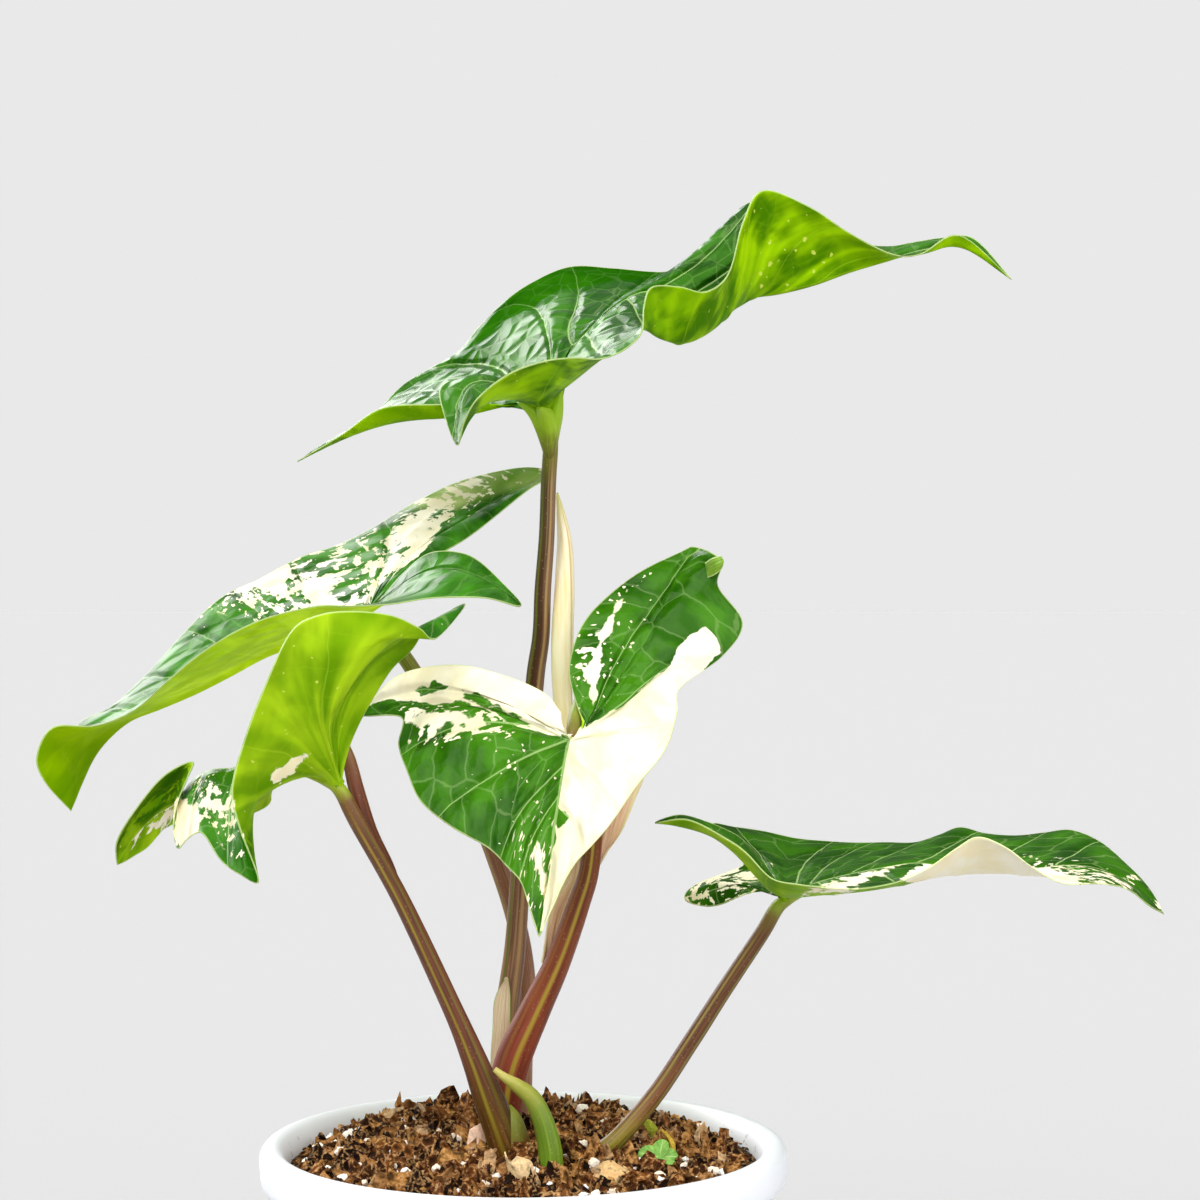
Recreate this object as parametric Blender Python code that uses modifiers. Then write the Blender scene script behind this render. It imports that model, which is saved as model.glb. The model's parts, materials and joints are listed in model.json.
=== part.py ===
"""Potted syngonium: a white nursery pot, its bark mix, and a plant with five arrow shaped leaves.

World frame: +Z up, origin at the middle of the pot's underside, -Y is the side the leaves face.
Lengths are metres; the lists of leaf and stem points are millimetres and pass through MM.
"""
import math
import random

import bmesh
import bpy
from mathutils import Euler, Matrix, Vector
from mathutils.bvhtree import BVHTree

MM = 0.001
CLEARANCE = 0.0003          # gap that every piece keeps to its neighbour

# the pot
POT_HEIGHT = 0.115
POT_RIM_RADIUS = 0.065
POT_RIM_DROP = 0.010        # how far the rolled rim reaches down the side
POT_MOUTH_RADIUS = 0.059
POT_FOOT_RADIUS = 0.0446
POT_WALL = 0.0018
POT_FLOOR = 0.0022
POT_STEPS = 48
DRAIN_HOLES = 6
DRAIN_RADIUS = 0.004
DRAIN_CIRCLE = 0.030

# the bark mix
SOIL_TOP = 0.109
SOIL_ROUGHNESS = 0.0010
SOIL_RINGS = 6
CHIP_COUNT = 66
CHIP_SIZE = (0.0032, 0.0068)
CHIP_SEED = 17

# the leaves
BLADE_THICKNESS = 0.0007
BLADE_ROWS = 6              # strips between the midrib and the margin
SHEATH_THICKNESS = 0.0007
STEM_STEPS = 2              # tube rings for each step between two stem points
STEM_END_STEPS = 24         # the first step is followed finely to find where a stem meets its blade
STEM_END_RADIUS = 0.0004    # a petiole narrows to this there
STEM_END_SPACING = 0.0006
STEM_SIDES = 8
HOLE_TOP = 0.140            # stems are let into the bark below this
HOLE_DEPTH = 0.0006         # room under a stem's foot

# Each leaf is a midrib from its junction to its tip, and ribs that fan out from it. A lobe's ribs start at
# the junction, and a blade has one rib for each further midrib point. A rib's last point is on the margin.
# The front half faces -Y; on the centre leaf it is the half at -X.
top_leaf = {
    "midrib": [(7, 0, 294), (10.5, 15, 310), (15, 21, 316.5), (20.5, 26, 322.5), (25.5, 30, 326.5),
               (29, 33, 328.5), (32.5, 35, 329), (36.5, 36, 328.5), (42, 38, 328), (47, 39, 328),
               (52, 40, 328), (57, 40, 328.5), (65, 41, 329.5), (75.5, 42, 332), (85, 43, 335.5),
               (94.5, 44, 338.5), (105, 45, 341.5), (115.5, 45, 342), (128, 44, 333.5)],
    "front_lobe": [
        [(4, -1, 295.5), (-0.5, 0, 297)], [(1, -3, 298.5), (-6.5, 0, 303)],
        [(-0.5, -5, 299), (-7.5, -6, 303), (-14.5, -5, 303)],
        [(-1, -6, 298.5), (-10.5, -9, 302.5), (-20, -9, 300.5)],
        [(-0.5, -8, 297.5), (-11.5, -13, 300), (-19.5, -14, 295)],
        [(0, -9, 296.5), (-9.5, -17, 297), (-15.5, -22, 285.5)],
        [(1.5, -10, 296), (-6.5, -18, 296.5), (-13.5, -27, 290.5)],
        [(3, -10, 296), (-3.5, -20, 296.5), (-10, -31, 296)],
        [(5, -10, 296), (2, -21, 297.5), (-2.5, -34, 301.5)], [(7.5, -10, 296.5), (7.5, -21, 299), (6, -34, 304.5)],
    ],
    "front_blade": [
        [(12, -6, 301.5), (13, -31, 305.5)], [(17, -3, 306.5), (18.5, -28, 305.5)],
        [(22, 2, 312), (22.5, -24, 307)], [(26.5, 8, 316), (26, -20, 309.5)],
        [(29.5, 14, 319), (29, -14, 313.5)], [(32.5, 18, 319.5), (31.5, 4, 314.5), (29.5, -9, 320)],
        [(36, 22, 318), (34.5, 8, 314), (31.5, -4, 325.5)],
        [(41, 26, 317.5), (40, 14, 313.5), (38.5, 3, 326.5)],
        [(46.5, 29, 319.5), (46, 19, 316.5), (45.5, 9, 326)],
        [(51.5, 32, 323), (51, 24, 321), (51.5, 15, 331.5)],
        [(56.5, 35, 325.5), (56, 27, 330), (55.5, 22, 345.5)],
        [(64, 38, 332.5), (62.5, 33, 342.5), (61, 28, 354.5)],
        [(75, 40, 337.5), (74.5, 37, 344), (73.5, 33, 351)], [(84.5, 41, 339.5), (83.5, 36, 345)],
        [(94.5, 42, 339), (95, 38, 339.5)], [(104.5, 43, 340), (103, 40, 339.5)],
        [(114.5, 44, 342.5), (114, 43, 345)],
    ],
    "back_lobe": [
        [(4, 3, 295.5), (-1.5, 8, 297)], [(0, 6, 297.5), (-11.5, 12, 298)],
        [(-4, 10, 298.5), (-14, 14, 295), (-22.5, 14, 298)],
        [(-6.5, 13, 299), (-24.5, 20, 294.5), (-37, 20, 297.5)],
        [(-9, 16, 300), (-27.5, 24, 295.5), (-48, 26, 291)],
        [(-10.5, 20, 301), (-33, 30, 298.5), (-60, 32, 284.5)],
        [(-9.5, 24, 303), (-29.5, 36, 301.5), (-50.5, 36, 290.5)],
        [(-8.5, 28, 305.5), (-26, 42, 305.5), (-40.5, 42, 298)],
        [(-7, 30, 307.5), (-22.5, 46, 309), (-33, 46, 306)],
        [(-6, 32, 310.5), (-13, 42, 314), (-19.5, 50, 314.5)],
        [(-3.5, 34, 314), (-9, 46, 318.5), (-14, 54, 321.5)],
        [(-1.5, 34, 316.5), (-5, 48, 324.5), (-7.5, 57, 328.5)],
        [(2, 32, 318), (0.5, 48, 328.5), (0, 58, 334)],
        [(6, 28, 319), (8, 46, 330.5), (10.5, 58, 338.5)],
        [(8, 22, 315), (15, 40, 327.5), (22, 57, 338)],
    ],
    "back_blade": [
        [(16, 30, 321.5), (31.5, 56, 337)], [(22, 36, 325.5), (37, 56, 337)],
        [(28.5, 40, 329.5), (42.5, 57, 339)], [(34.5, 43, 333), (46.5, 58, 343)],
        [(39, 45, 336), (50, 58, 346.5)], [(42.5, 46, 338.5), (53.5, 57, 350.5)],
        [(47, 47, 340), (57, 57, 354.5)], [(51.5, 47, 340.5), (60.5, 56, 356)],
        [(56, 47, 340), (64.5, 55, 355.5)], [(60.5, 47, 339.5), (68.5, 55, 353.5)],
        [(64.5, 47, 338.5), (72.5, 54, 351)], [(72, 46, 337.5), (79, 53, 347)],
        [(82, 46, 338), (88.5, 52, 344)], [(90, 46, 339), (96.5, 50, 343)],
        [(98.5, 46, 340.5), (103, 49, 344)], [(108, 47, 343.5), (111, 48, 345)],
        [(117, 46, 343), (118.5, 47, 344.5)],
    ],
}
left_leaf = {
    "midrib": [(-41, 25, 245), (-49.5, 27, 242), (-59, 28, 238), (-68, 28, 234.5),
               (-77, 27, 229.5), (-85.5, 26, 225), (-94.5, 24, 221), (-101.5, 21, 218),
               (-106.5, 18, 213.5), (-110, 16, 208.5), (-112.5, 13, 202), (-114.5, 10, 195.5)],
    "front_lobe": [
        [(-38, 23, 247.5), (-36, 22, 250.5)], [(-35, 18, 250), (-31, 17, 255.5)],
        [(-31.5, 12, 252), (-23.5, 10, 260.5)], [(-29, 8, 253), (-21, 4, 257), (-13.5, 3, 259.5)],
        [(-28, 5, 252.5), (-17, -2, 255), (-5.5, -4, 253)],
        [(-28, 3, 252), (-15, -5, 254.5), (-0.5, -8, 247)],
        [(-28.5, 0, 251), (-18, -10, 252), (-9, -15, 249)], [(-30, -2, 249), (-21.5, -16, 249)],
        [(-34, -3, 247.5), (-31.5, -18, 247.5)], [(-40, 0, 245.5), (-41.5, -16, 247)],
    ],
    "front_blade": [
        [(-49, 5, 243.5), (-49.5, -14, 247)], [(-59.5, 4, 240.5), (-60.5, -15, 244.5)],
        [(-68.5, 4, 237), (-69, -15, 241)], [(-78, 6, 231.5), (-78, -13, 235.5)],
        [(-87, 8, 226.5), (-87, -9, 228.5)], [(-95.5, 10, 222), (-95.5, -5, 221.5)],
        [(-104, 9, 217.5), (-105.5, -3, 217.5)], [(-111.5, 9, 214), (-116.5, -1, 217)],
        [(-114.5, 8, 209.5), (-121, 1, 209.5)], [(-115, 8, 203), (-119.5, 4, 203)],
    ],
    "back_lobe": [
        [(-38, 28, 249), (-35, 31, 252.5)], [(-33.5, 33, 255), (-27, 36, 258.5)],
        [(-30, 40, 260.5), (-15.5, 44, 265.5)], [(-27.5, 44, 263), (-14.5, 50, 271), (0, 54, 278.5)],
        [(-27.5, 46, 264.5), (-13.5, 54, 273.5), (7, 60, 282.5)],
        [(-29, 48, 266), (-16.5, 56, 276), (-2, 62, 284.5)],
        [(-32, 50, 266), (-24.5, 56, 273), (-18.5, 62, 281)], [(-36, 50, 263), (-31.5, 62, 275)],
        [(-41, 48, 259), (-44, 62, 267.5)], [(-46, 45, 255), (-53.5, 62, 263)],
    ],
    "back_blade": [
        [(-57, 45, 251), (-62.5, 60, 260)], [(-67.5, 44, 246), (-73.5, 58, 254)],
        [(-76.5, 42, 241), (-83.5, 56, 249)], [(-85, 40, 235), (-92, 53, 240.5)],
        [(-93.5, 37, 229), (-99, 50, 232)], [(-100, 33, 223), (-105, 44, 225)],
        [(-106, 28, 218.5), (-110, 37, 220)], [(-110, 22, 215), (-115.5, 30, 217)],
        [(-115, 18, 210.5), (-119, 22, 211.5)], [(-115.5, 14, 202.5), (-119, 16, 203)],
    ],
}
front_leaf = {
    "midrib": [(-42.5, -30, 205), (-47, -27, 207), (-52.5, -24, 208.5), (-59, -21, 209),
               (-65, -18, 209), (-70.5, -16, 208), (-75, -14, 207.5), (-78.5, -12, 206),
               (-81, -11, 204), (-83, -10, 201.5), (-84.5, -9, 200), (-86.5, -8, 198.5),
               (-89, -7, 197), (-91.5, -6, 195), (-94.5, -6, 192), (-97.5, -5, 188),
               (-100, -5, 183.5)],
    "front_lobe": [
        [(-42, -31, 206.5), (-41.5, -31, 209.5)], [(-42, -33, 211), (-39.5, -31, 216)],
        [(-42.5, -34.5, 216), (-39.5, -34.5, 220.5), (-36, -31, 223)],
        [(-42.5, -36, 218.5), (-38, -37.5, 227.5), (-30.5, -30, 232)],
        [(-43, -37, 219.5), (-35.5, -39, 232.5), (-25.5, -28, 237)],
        [(-43, -38.5, 220), (-34, -39.5, 234.5), (-22, -23, 242.5)],
        [(-43, -40, 220.5), (-32.5, -42.5, 236), (-13.5, -20, 247.5)],
        [(-43, -41.5, 221), (-33, -46, 237.5), (-19.5, -33, 239.5)],
        [(-43.5, -43, 221.5), (-34.5, -48, 238), (-23, -40, 242)],
        [(-44, -43, 222), (-37, -49, 238), (-29, -46, 245)],
        [(-45, -44, 222), (-41, -50, 237), (-38, -50, 246)],
        [(-46.5, -44, 222), (-47, -50, 235), (-45.5, -52, 245)],
        [(-48.5, -44, 220.5), (-52, -50, 232.5), (-51.5, -53, 241)],
        [(-50, -42, 217.5), (-55.5, -49, 225.5), (-57.5, -54, 228)],
        [(-51, -40, 214), (-57, -48, 217.5), (-61.5, -54, 217.5)],
    ],
    "front_blade": [
        [(-53, -36, 206.5), (-59, -44, 204.5), (-64.5, -54, 206)],
        [(-57.5, -34, 205), (-60.5, -42, 202), (-63, -53, 197)],
        [(-61.5, -32, 206), (-62, -42, 199), (-59, -50, 184.5)],
        [(-66.5, -28, 203.5), (-65.5, -38, 195), (-64, -46, 185.5)],
        [(-71, -26, 202), (-70, -34, 194.5), (-69, -42, 188.5)], [(-75.5, -24, 202), (-74, -36, 194)],
        [(-78.5, -22, 200.5), (-78, -32, 192.5)], [(-81.5, -18, 199), (-81.5, -26, 189.5)],
        [(-83.5, -16, 200), (-83, -23, 195)], [(-84, -13, 201), (-82.5, -20, 200)],
        [(-84.5, -11, 203), (-80.5, -18, 205.5)], [(-85.5, -10, 203.5), (-79.5, -16, 209.5)],
        [(-89.5, -9, 201), (-86, -15, 206.5)], [(-94, -9, 197), (-92, -14, 200)],
        [(-98.5, -7, 190), (-98.5, -11, 190.5)],
    ],
    "back_lobe": [
        [(-43.5, -27, 207), (-43.5, -24, 209)], [(-45.5, -20, 212.5), (-44.5, -16, 216)],
        [(-48, -15, 215), (-44, -8, 223)], [(-49, -12, 217.5), (-45, -6, 224.5), (-40, -3, 230)],
        [(-51, -9, 218), (-50, -1, 226), (-47.5, 1, 230.5)],
        [(-53.5, -7, 217), (-56, 3, 223), (-58.5, 9, 226.5)], [(-56.5, -5, 213.5), (-63, 12, 217.5)],
    ],
    "back_blade": [
        [(-56.5, -6, 208), (-67, 14, 205.5)], [(-59.5, -8, 205), (-63.5, 6, 198.5)],
        [(-64.5, -7, 203), (-68.5, 6, 195)], [(-69, -6, 203), (-73.5, 6, 193.5)],
        [(-74, -5, 203), (-77.5, 5, 193)], [(-78, -5, 203), (-81, 4, 192.5)],
        [(-80.5, -4, 201.5), (-83, 3, 193)], [(-82.5, -4, 200.5), (-84.5, 2, 193)],
        [(-84, -4, 199), (-86, 1, 193)], [(-85.5, -4, 197.5), (-87, 0, 193)],
        [(-87, -4, 196), (-88, 0, 192.5)], [(-89, -4, 195), (-89.5, -1, 191.5)],
        [(-92, -4, 192.5), (-93, -1, 187.5)], [(-95, -4, 189.5), (-96, -2, 185.5)],
        [(-97.5, -4, 186), (-98.5, -3, 184)],
    ],
}
centre_leaf = {
    "midrib": [(11.5, -30, 215.5), (11, -33, 213), (10, -37, 207.5), (9, -41, 201),
               (8, -45, 194.5), (7.5, -48, 188), (6.5, -51, 181.5), (5, -56, 172.5)],
    "front_lobe": [
        [(10, -29, 218.5), (9.5, -28, 222)], [(7.5, -29, 219.5), (5.5, -26, 226.5)],
        [(4.5, -29, 220.5), (-4, -24, 230.5)], [(0, -28, 222), (-11, -24, 227), (-15.5, -21, 233)],
        [(-2.5, -28, 222), (-17, -23, 227), (-28.5, -18, 231)],
        [(-3.5, -27, 222), (-19.5, -22, 224), (-35.5, -15, 225.5)],
        [(-4, -27, 221.5), (-20.5, -22, 222.5), (-40, -12, 220.5)],
        [(-4, -28, 220), (-19.5, -24, 221), (-29, -20, 220.5)],
        [(-3.5, -30, 217.5), (-19, -28, 216.5), (-29, -27, 214)],
        [(-2.5, -32, 215), (-17.5, -32, 211.5), (-26.5, -32, 208)],
        [(0, -34, 212), (-14, -36, 205.5), (-23, -37, 201.5)],
    ],
    "front_blade": [
        [(0, -37, 207), (-15.5, -42, 196)], [(0.5, -41, 201), (-7, -45, 191.5)],
        [(2, -44, 194.5), (-2.5, -48, 187.5)], [(4, -47, 189.5), (0.5, -50, 184.5)],
        [(5, -50, 184.5), (2, -52, 181)], [(5.5, -52, 179), (3.5, -54, 176.5)],
    ],
    "back_lobe": [
        [(13.5, -29, 217), (15.5, -28, 219)], [(15.5, -27, 219.5), (13, -24, 224.5)],
        [(17, -25, 222), (14, -21, 229.5), (11.5, -18, 233)],
        [(19, -23, 224.5), (19, -16, 236.5), (15.5, -12, 244)],
        [(20, -22, 225), (26, -13, 241), (26.5, -6, 254)],
        [(21, -21, 225.5), (31, -12, 243.5), (38, -3, 260)],
        [(21.5, -21, 225.5), (33.5, -12, 245), (42.5, -2, 261.5)],
        [(22, -21, 225), (35.5, -13, 245), (44.5, -8, 256.5), (48.5, -12, 258)],
        [(22.5, -22, 224.5), (37, -14, 243), (47.5, -9, 252)],
        [(23.5, -23, 224), (38.5, -16, 239.5), (53.5, -11, 243)],
        [(24, -24, 223.5), (37, -19, 234), (48.5, -15, 235)],
        [(24, -26, 222), (32, -24, 227), (38, -22, 227.5)],
        [(23.5, -28, 219.5), (32, -28, 222), (37, -30, 222)],
        [(21.5, -31, 216), (29.5, -33, 214.5), (34, -36, 213.5)],
    ],
    "back_blade": [
        [(19, -36, 209), (27, -41, 205)], [(16.5, -40, 203.5), (21.5, -46, 197.5)],
        [(14, -44, 198), (17, -49, 192.5)], [(12, -47, 192.5), (13.5, -51, 189)],
        [(10, -50, 186), (10.5, -53, 184.5)], [(8, -52, 180.5), (8.5, -54, 180)],
    ],
}
right_leaf = {
    "midrib": [(64, -5, 175.5), (68.5, 0, 177), (74, 3, 178.5), (81, 5, 180), (90, 7, 181.5),
               (98, 8, 182.5), (105.5, 9, 181.5), (113, 9, 181), (120.5, 9, 181), (128, 8, 181),
               (135, 7, 182), (142.5, 6, 181.5), (150, 5, 178.5), (154.5, 4, 175), (159, 2, 170.5)],
    "front_lobe": [
        [(62.5, -6, 178), (61, -6, 181)], [(59.5, -10, 182), (56.5, -8, 187)],
        [(56.5, -14, 185), (51.5, -10, 191.5)],
        [(53.5, -18, 188), (46.5, -14, 192.5), (43.5, -12, 195)],
        [(52.5, -20, 188.5), (44, -18, 193.5), (37.5, -15, 196.5)],
        [(52.5, -21, 188.5), (44, -22, 192.5), (32, -20, 195)],
        [(53, -24, 187.5), (46, -26, 192), (39.5, -27, 196.5)],
        [(54.5, -27, 184.5), (50.5, -31, 189), (48.5, -34, 192.5)],
        [(57, -26, 181.5), (54.5, -32, 185.5), (53, -38, 189.5)],
        [(61, -22, 177.5), (58.5, -40, 184)],
    ],
    "front_blade": [
        [(67, -18, 177), (65, -40, 182.5)], [(73, -17, 177.5), (72.5, -38, 181.5)],
        [(81, -15, 178), (80, -35, 181)], [(90, -12, 179), (89, -30, 182)],
        [(99, -10, 180.5), (97, -26, 185)], [(105.5, -8, 181.5), (104, -24, 189.5)],
        [(112.5, -8, 182), (109, -24, 192)], [(119, -9, 182), (115.5, -24, 189.5)],
        [(125.5, -10, 181), (121.5, -24, 185)], [(132, -10, 181), (129, -24, 181)],
        [(140.5, -8, 181), (138.5, -20, 180.5)], [(148, -6, 178.5), (146.5, -14, 178.5)],
        [(154, -2, 174), (153.5, -6, 173.5)],
    ],
    "back_lobe": [
        [(62, -1, 176), (60.5, 2, 176.5)], [(60, 2, 177), (55, 2, 175.5)],
        [(56, 4, 176.5), (48.5, 4, 172.5)], [(54.5, 6, 177), (47.5, 7, 176.5), (44, 6, 172)],
        [(54, 7, 177.5), (47, 9, 177), (40, 8, 173.5)],
        [(54.5, 10, 177.5), (48, 12, 178), (43, 13, 176.5)], [(60, 14, 178.5), (57, 19, 182.5)],
        [(59, 16, 181), (48, 30, 190)], [(61, 22, 183), (54, 36, 189)],
        [(64, 26, 182), (62, 40, 187.5)], [(67, 28, 180.5), (70.5, 42, 185.5)],
    ],
    "back_blade": [
        [(72.5, 28, 180.5), (79, 44, 184.5)], [(78.5, 28, 180.5), (87, 45, 184)],
        [(86.5, 30, 181.5), (95, 46, 184)], [(95.5, 30, 182), (102.5, 46, 184)],
        [(102, 30, 183.5), (109, 46, 186)], [(108.5, 30, 184), (114.5, 46, 188)],
        [(116, 30, 183.5), (121, 45, 186.5)], [(123.5, 28, 183.5), (129, 44, 186)],
        [(131, 27, 183.5), (136.5, 42, 187)], [(138.5, 24, 184), (142.5, 38, 188)],
        [(145.5, 18, 183.5), (148, 28, 186)], [(150.5, 12, 181), (152.5, 18, 181.5)],
        [(155.5, 8, 176.5), (156.5, 10, 176.5)],
    ],
}
top_leaf_petiole = [
    (7, 0, 294, 0.9), (6.5, 0, 292, 1.9), (6.5, 1, 285.5, 1.9), (6, 2, 277.5, 1.9), (5.5, 4, 264, 2.0),
    (4.5, 6, 251, 2.1), (4, 8, 239.5, 2.2), (2.5, 9, 228.5, 2.3), (1, 10, 208, 2.4), (-1, 10, 183, 2.5),
    (-2.5, 9, 161.5, 2.7), (-4.5, 8, 145.5, 3.0), (-5, 8, 134.5, 3.3), (-4, 7, 123.5, 3.4),
    (-4, 7, 93.5, 3.3),
]
left_leaf_petiole = [
    (-40.5, 25, 245, 0.8), (-39.5, 26, 243.5, 1.6), (-36.5, 25, 239, 1.9), (-30.5, 23, 232.5, 2.0),
    (-22, 20, 218, 2.1), (-14.5, 18, 200, 2.2), (-8, 17, 183.5, 2.3), (-3, 17, 168.5, 2.4),
    (-0.5, 18, 155.5, 2.5), (0, 18, 144, 2.5), (-1, 18, 129, 2.6), (-1, 18, 90.5, 2.6),
]
front_leaf_petiole = [
    (-42.5, -30, 205, 0.9), (-42, -30, 203.5, 1.9), (-38.5, -29, 196, 2.0), (-28.5, -26, 177.5, 2.1),
    (-17, -20, 151.5, 2.4), (-12, -17, 139, 3.0), (-8, -14, 127.5, 3.8), (-5, -12, 118.5, 4.1),
    (-3, -11, 112, 4.2), (-2.5, -11, 97.5, 4.0),
]
centre_leaf_petiole = [
    (12, -29.5, 216, 0.8), (12.5, -27, 218, 1.7), (13.5, -21, 222, 1.9), (15, -14, 223.5, 2.0),
    (16.5, -9, 215.5, 2.1), (17.5, -9, 202, 2.2), (16.5, -10, 184.5, 2.4), (13.5, -9, 174, 2.8),
    (8.5, -7, 159, 3.1), (3.5, -5, 148, 3.3), (-1, -3, 136.5, 3.5), (-3, -2, 125, 3.5),
    (-3, -2, 95.5, 3.3),
]
right_leaf_petiole = [
    (63.5, -5, 175, 0.9), (62.5, -5, 173.5, 1.9), (58.5, -5, 166.5, 1.9), (49.5, -5, 153, 2.0),
    (41, -6, 140, 2.1), (32.5, -7, 127.5, 2.2), (23.5, -9, 117.5, 2.3), (16.5, -10, 112, 2.4),
    (10.5, -11, 106, 2.4), (8, -11, 99, 2.3),
]
new_leaf = [
    (8, 11, 275.5, 0.3), (9, 10, 270, 1.2), (10, 9, 262.5, 2.1), (10, 7, 251, 2.7),
    (9.5, 6, 238.5, 3.0), (9.5, 6, 226, 2.7), (10.5, 5.5, 215, 2.3), (13, 4, 199, 1.9),
    (15, 1, 187.5, 1.5),
]
green_shoot = [
    (-6.5, -20, 136, 0.7), (-4, -20, 134, 1.1), (-1, -20, 132, 1.7), (2.5, -20, 129, 2.2),
    (5, -20, 124, 2.5), (6.5, -20, 118.5, 2.8), (7, -20, 113.5, 3.0), (7, -20, 101, 3.0),
]
front_leaf_sheath = [
    (-43, -24, 216, 1.0), (-41, -24, 210.5, 1.6), (-39, -24, 202.5, 1.9), (-36, -23.5, 193, 1.9),
    (-32, -22.5, 185, 1.6), (-29.5, -23, 180.5, 0.8),
]
centre_leaf_sheath = [
    [(4.5, -5, 159.5), (6, -3, 157.5), (8, -2.5, 156), (10.5, -3, 157), (12.5, -5, 159)],
    [(6.5, -3, 172), (9, -4, 171), (12, -4.5, 170), (14, -5, 170.5), (16, -6.5, 172)],
    [(11, -2.5, 181), (13, -5, 180.5), (15.5, -6, 180), (17.5, -7, 180.5), (19.5, -8, 183.5)],
    [(10.5, -1, 190.5), (13.5, -4, 190), (16.5, -6, 189.5), (20.5, -6.5, 190), (24, -6, 191.5)],
    [(10.5, 1, 199.5), (14, -3, 199.5), (17.5, -5.5, 199.5), (22.5, -5, 199.5), (27.5, -3, 199.5)],
    [(12, 2.5, 207), (15, -2, 207.5), (17.5, -5.5, 208), (23, -4, 207.5), (29.5, 0, 206)],
    [(15, 0, 213.5), (17, -3.5, 214.5), (19, -4.5, 215.5), (22, -3.5, 215), (25.5, 0, 213.5)],
]
top_leaf_sheath = [
    [(-5, 4.5, 154), (-4.5, 4.5, 154.5), (-4, 4.5, 154)],
    [(-7.5, 6, 148.5), (-5.5, 4.5, 149), (-3.5, 4.5, 149.5)],
    [(-8, 5.5, 141), (-6, 4, 141.5), (-3.5, 4, 142.5)],
    [(-8.5, 5.5, 133.5), (-6.5, 4, 134), (-3.5, 4, 135)],
]
BLADES = {
    "top_leaf_blade": (top_leaf, 1),
    "left_leaf_blade": (left_leaf, 2),
    "front_leaf_blade": (front_leaf, 1),
    "centre_leaf_blade": (centre_leaf, 2),
    "right_leaf_blade": (right_leaf, 1),
}
STEMS = {
    "top_leaf_petiole": (top_leaf_petiole, "top_leaf_blade", "petiole"),
    "left_leaf_petiole": (left_leaf_petiole, "left_leaf_blade", "petiole"),
    "front_leaf_petiole": (front_leaf_petiole, "front_leaf_blade", "petiole"),
    "centre_leaf_petiole": (centre_leaf_petiole, "centre_leaf_blade", "petiole"),
    "right_leaf_petiole": (right_leaf_petiole, "right_leaf_blade", "petiole"),
    "new_leaf": (new_leaf, None, "young leaf"),
    "green_shoot": (green_shoot, None, "shoot"),
    "front_leaf_sheath": (front_leaf_sheath, None, "petiole"),
}
SHEATHS = {
    "centre_leaf_sheath": centre_leaf_sheath,
    "top_leaf_sheath": top_leaf_sheath,
}
ROOTED = [
    "top_leaf_petiole", "left_leaf_petiole", "front_leaf_petiole",
    "centre_leaf_petiole", "right_leaf_petiole", "green_shoot",
]

# a weed seedling: where its stalk leaves the bark, and its leaflets' direction, rise and length
SEEDLING_ROOT = (32.5, -15.0, 108.2)
SEEDLING_TOP = (33.2, -14.6, 112.6)
SEEDLING_STALK = 0.0006
SEEDLING_LEAFLETS = [(205, 20, 6.4), (80, 42, 6.0), (330, 14, 6.2)]
LEAFLET_WIDTH = 0.62        # of its length
LEAFLET_THICKNESS = 0.0006


def material(name, colour, roughness):
    """A Principled material with one colour."""
    made = bpy.data.materials.new(name)
    made.use_nodes = True
    shader = made.node_tree.nodes["Principled BSDF"]
    shader.inputs["Base Color"].default_value = (*colour, 1.0)
    shader.inputs["Roughness"].default_value = roughness
    shader.inputs["Metallic"].default_value = 0.0
    return made


def smooth_point(points, place):
    """The point at a place along a Catmull-Rom curve through the points; a whole number is a point."""
    last = len(points) - 1
    first = min(int(place), last - 1)
    f = place - first
    before = points[first - 1] if first > 0 else 2 * points[0] - points[1]
    after = points[first + 2] if first + 2 <= last else 2 * points[last] - points[last - 1]
    a, b = points[first], points[first + 1]
    return 0.5 * (2 * a + (b - before) * f + (2 * before - 5 * a + 4 * b - after) * f * f
                  + (3 * a - before - 3 * b + after) * f ** 3)


def half_columns(leaf, half, columns_per_rib, rows):
    """Columns of points, each from the midrib to the margin, from the sinus round to the tip."""
    midrib = [Vector(p) for p in leaf["midrib"]]
    ribs = [[midrib[0]] + [Vector(p) for p in rib] for rib in leaf[half + "_lobe"]]
    starts = [0.0] * len(ribs)
    for index, rib in enumerate(leaf[half + "_blade"]):
        ribs.append([midrib[index + 1]] + [Vector(p) for p in rib])
        starts.append(index + 1.0)
    lines = [[smooth_point(rib, (len(rib) - 1) * row / rows) for row in range(rows + 1)] for rib in ribs]
    lines.append([midrib[-1]] * (rows + 1))
    starts.append(len(midrib) - 1.0)
    columns = []
    for step in range((len(lines) - 1) * columns_per_rib + 1):
        place = step / columns_per_rib
        first = min(int(place), len(lines) - 2)
        along = starts[first] + (starts[first + 1] - starts[first]) * (place - first)
        column = [smooth_point([line[row] for line in lines], place) for row in range(rows + 1)]
        shift = smooth_point(midrib, along) - column[0]
        columns.append([p + shift * (1 - row / rows) ** 2 for row, p in enumerate(column)])
    return columns


def add_grid(mesh, columns, turned):
    """Adds a grid of points to a bmesh as triangles, so that both faces of the blade split alike."""
    corners = [[mesh.verts.new(p * MM) for p in column] for column in columns]
    for here, there in zip(corners, corners[1:]):
        for row in range(len(here) - 1):
            a, b, c, d = here[row], there[row], there[row + 1], here[row + 1]
            for face in ((a, b, c), (a, c, d)):
                mesh.faces.new(face[::-1] if turned else face)


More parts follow.
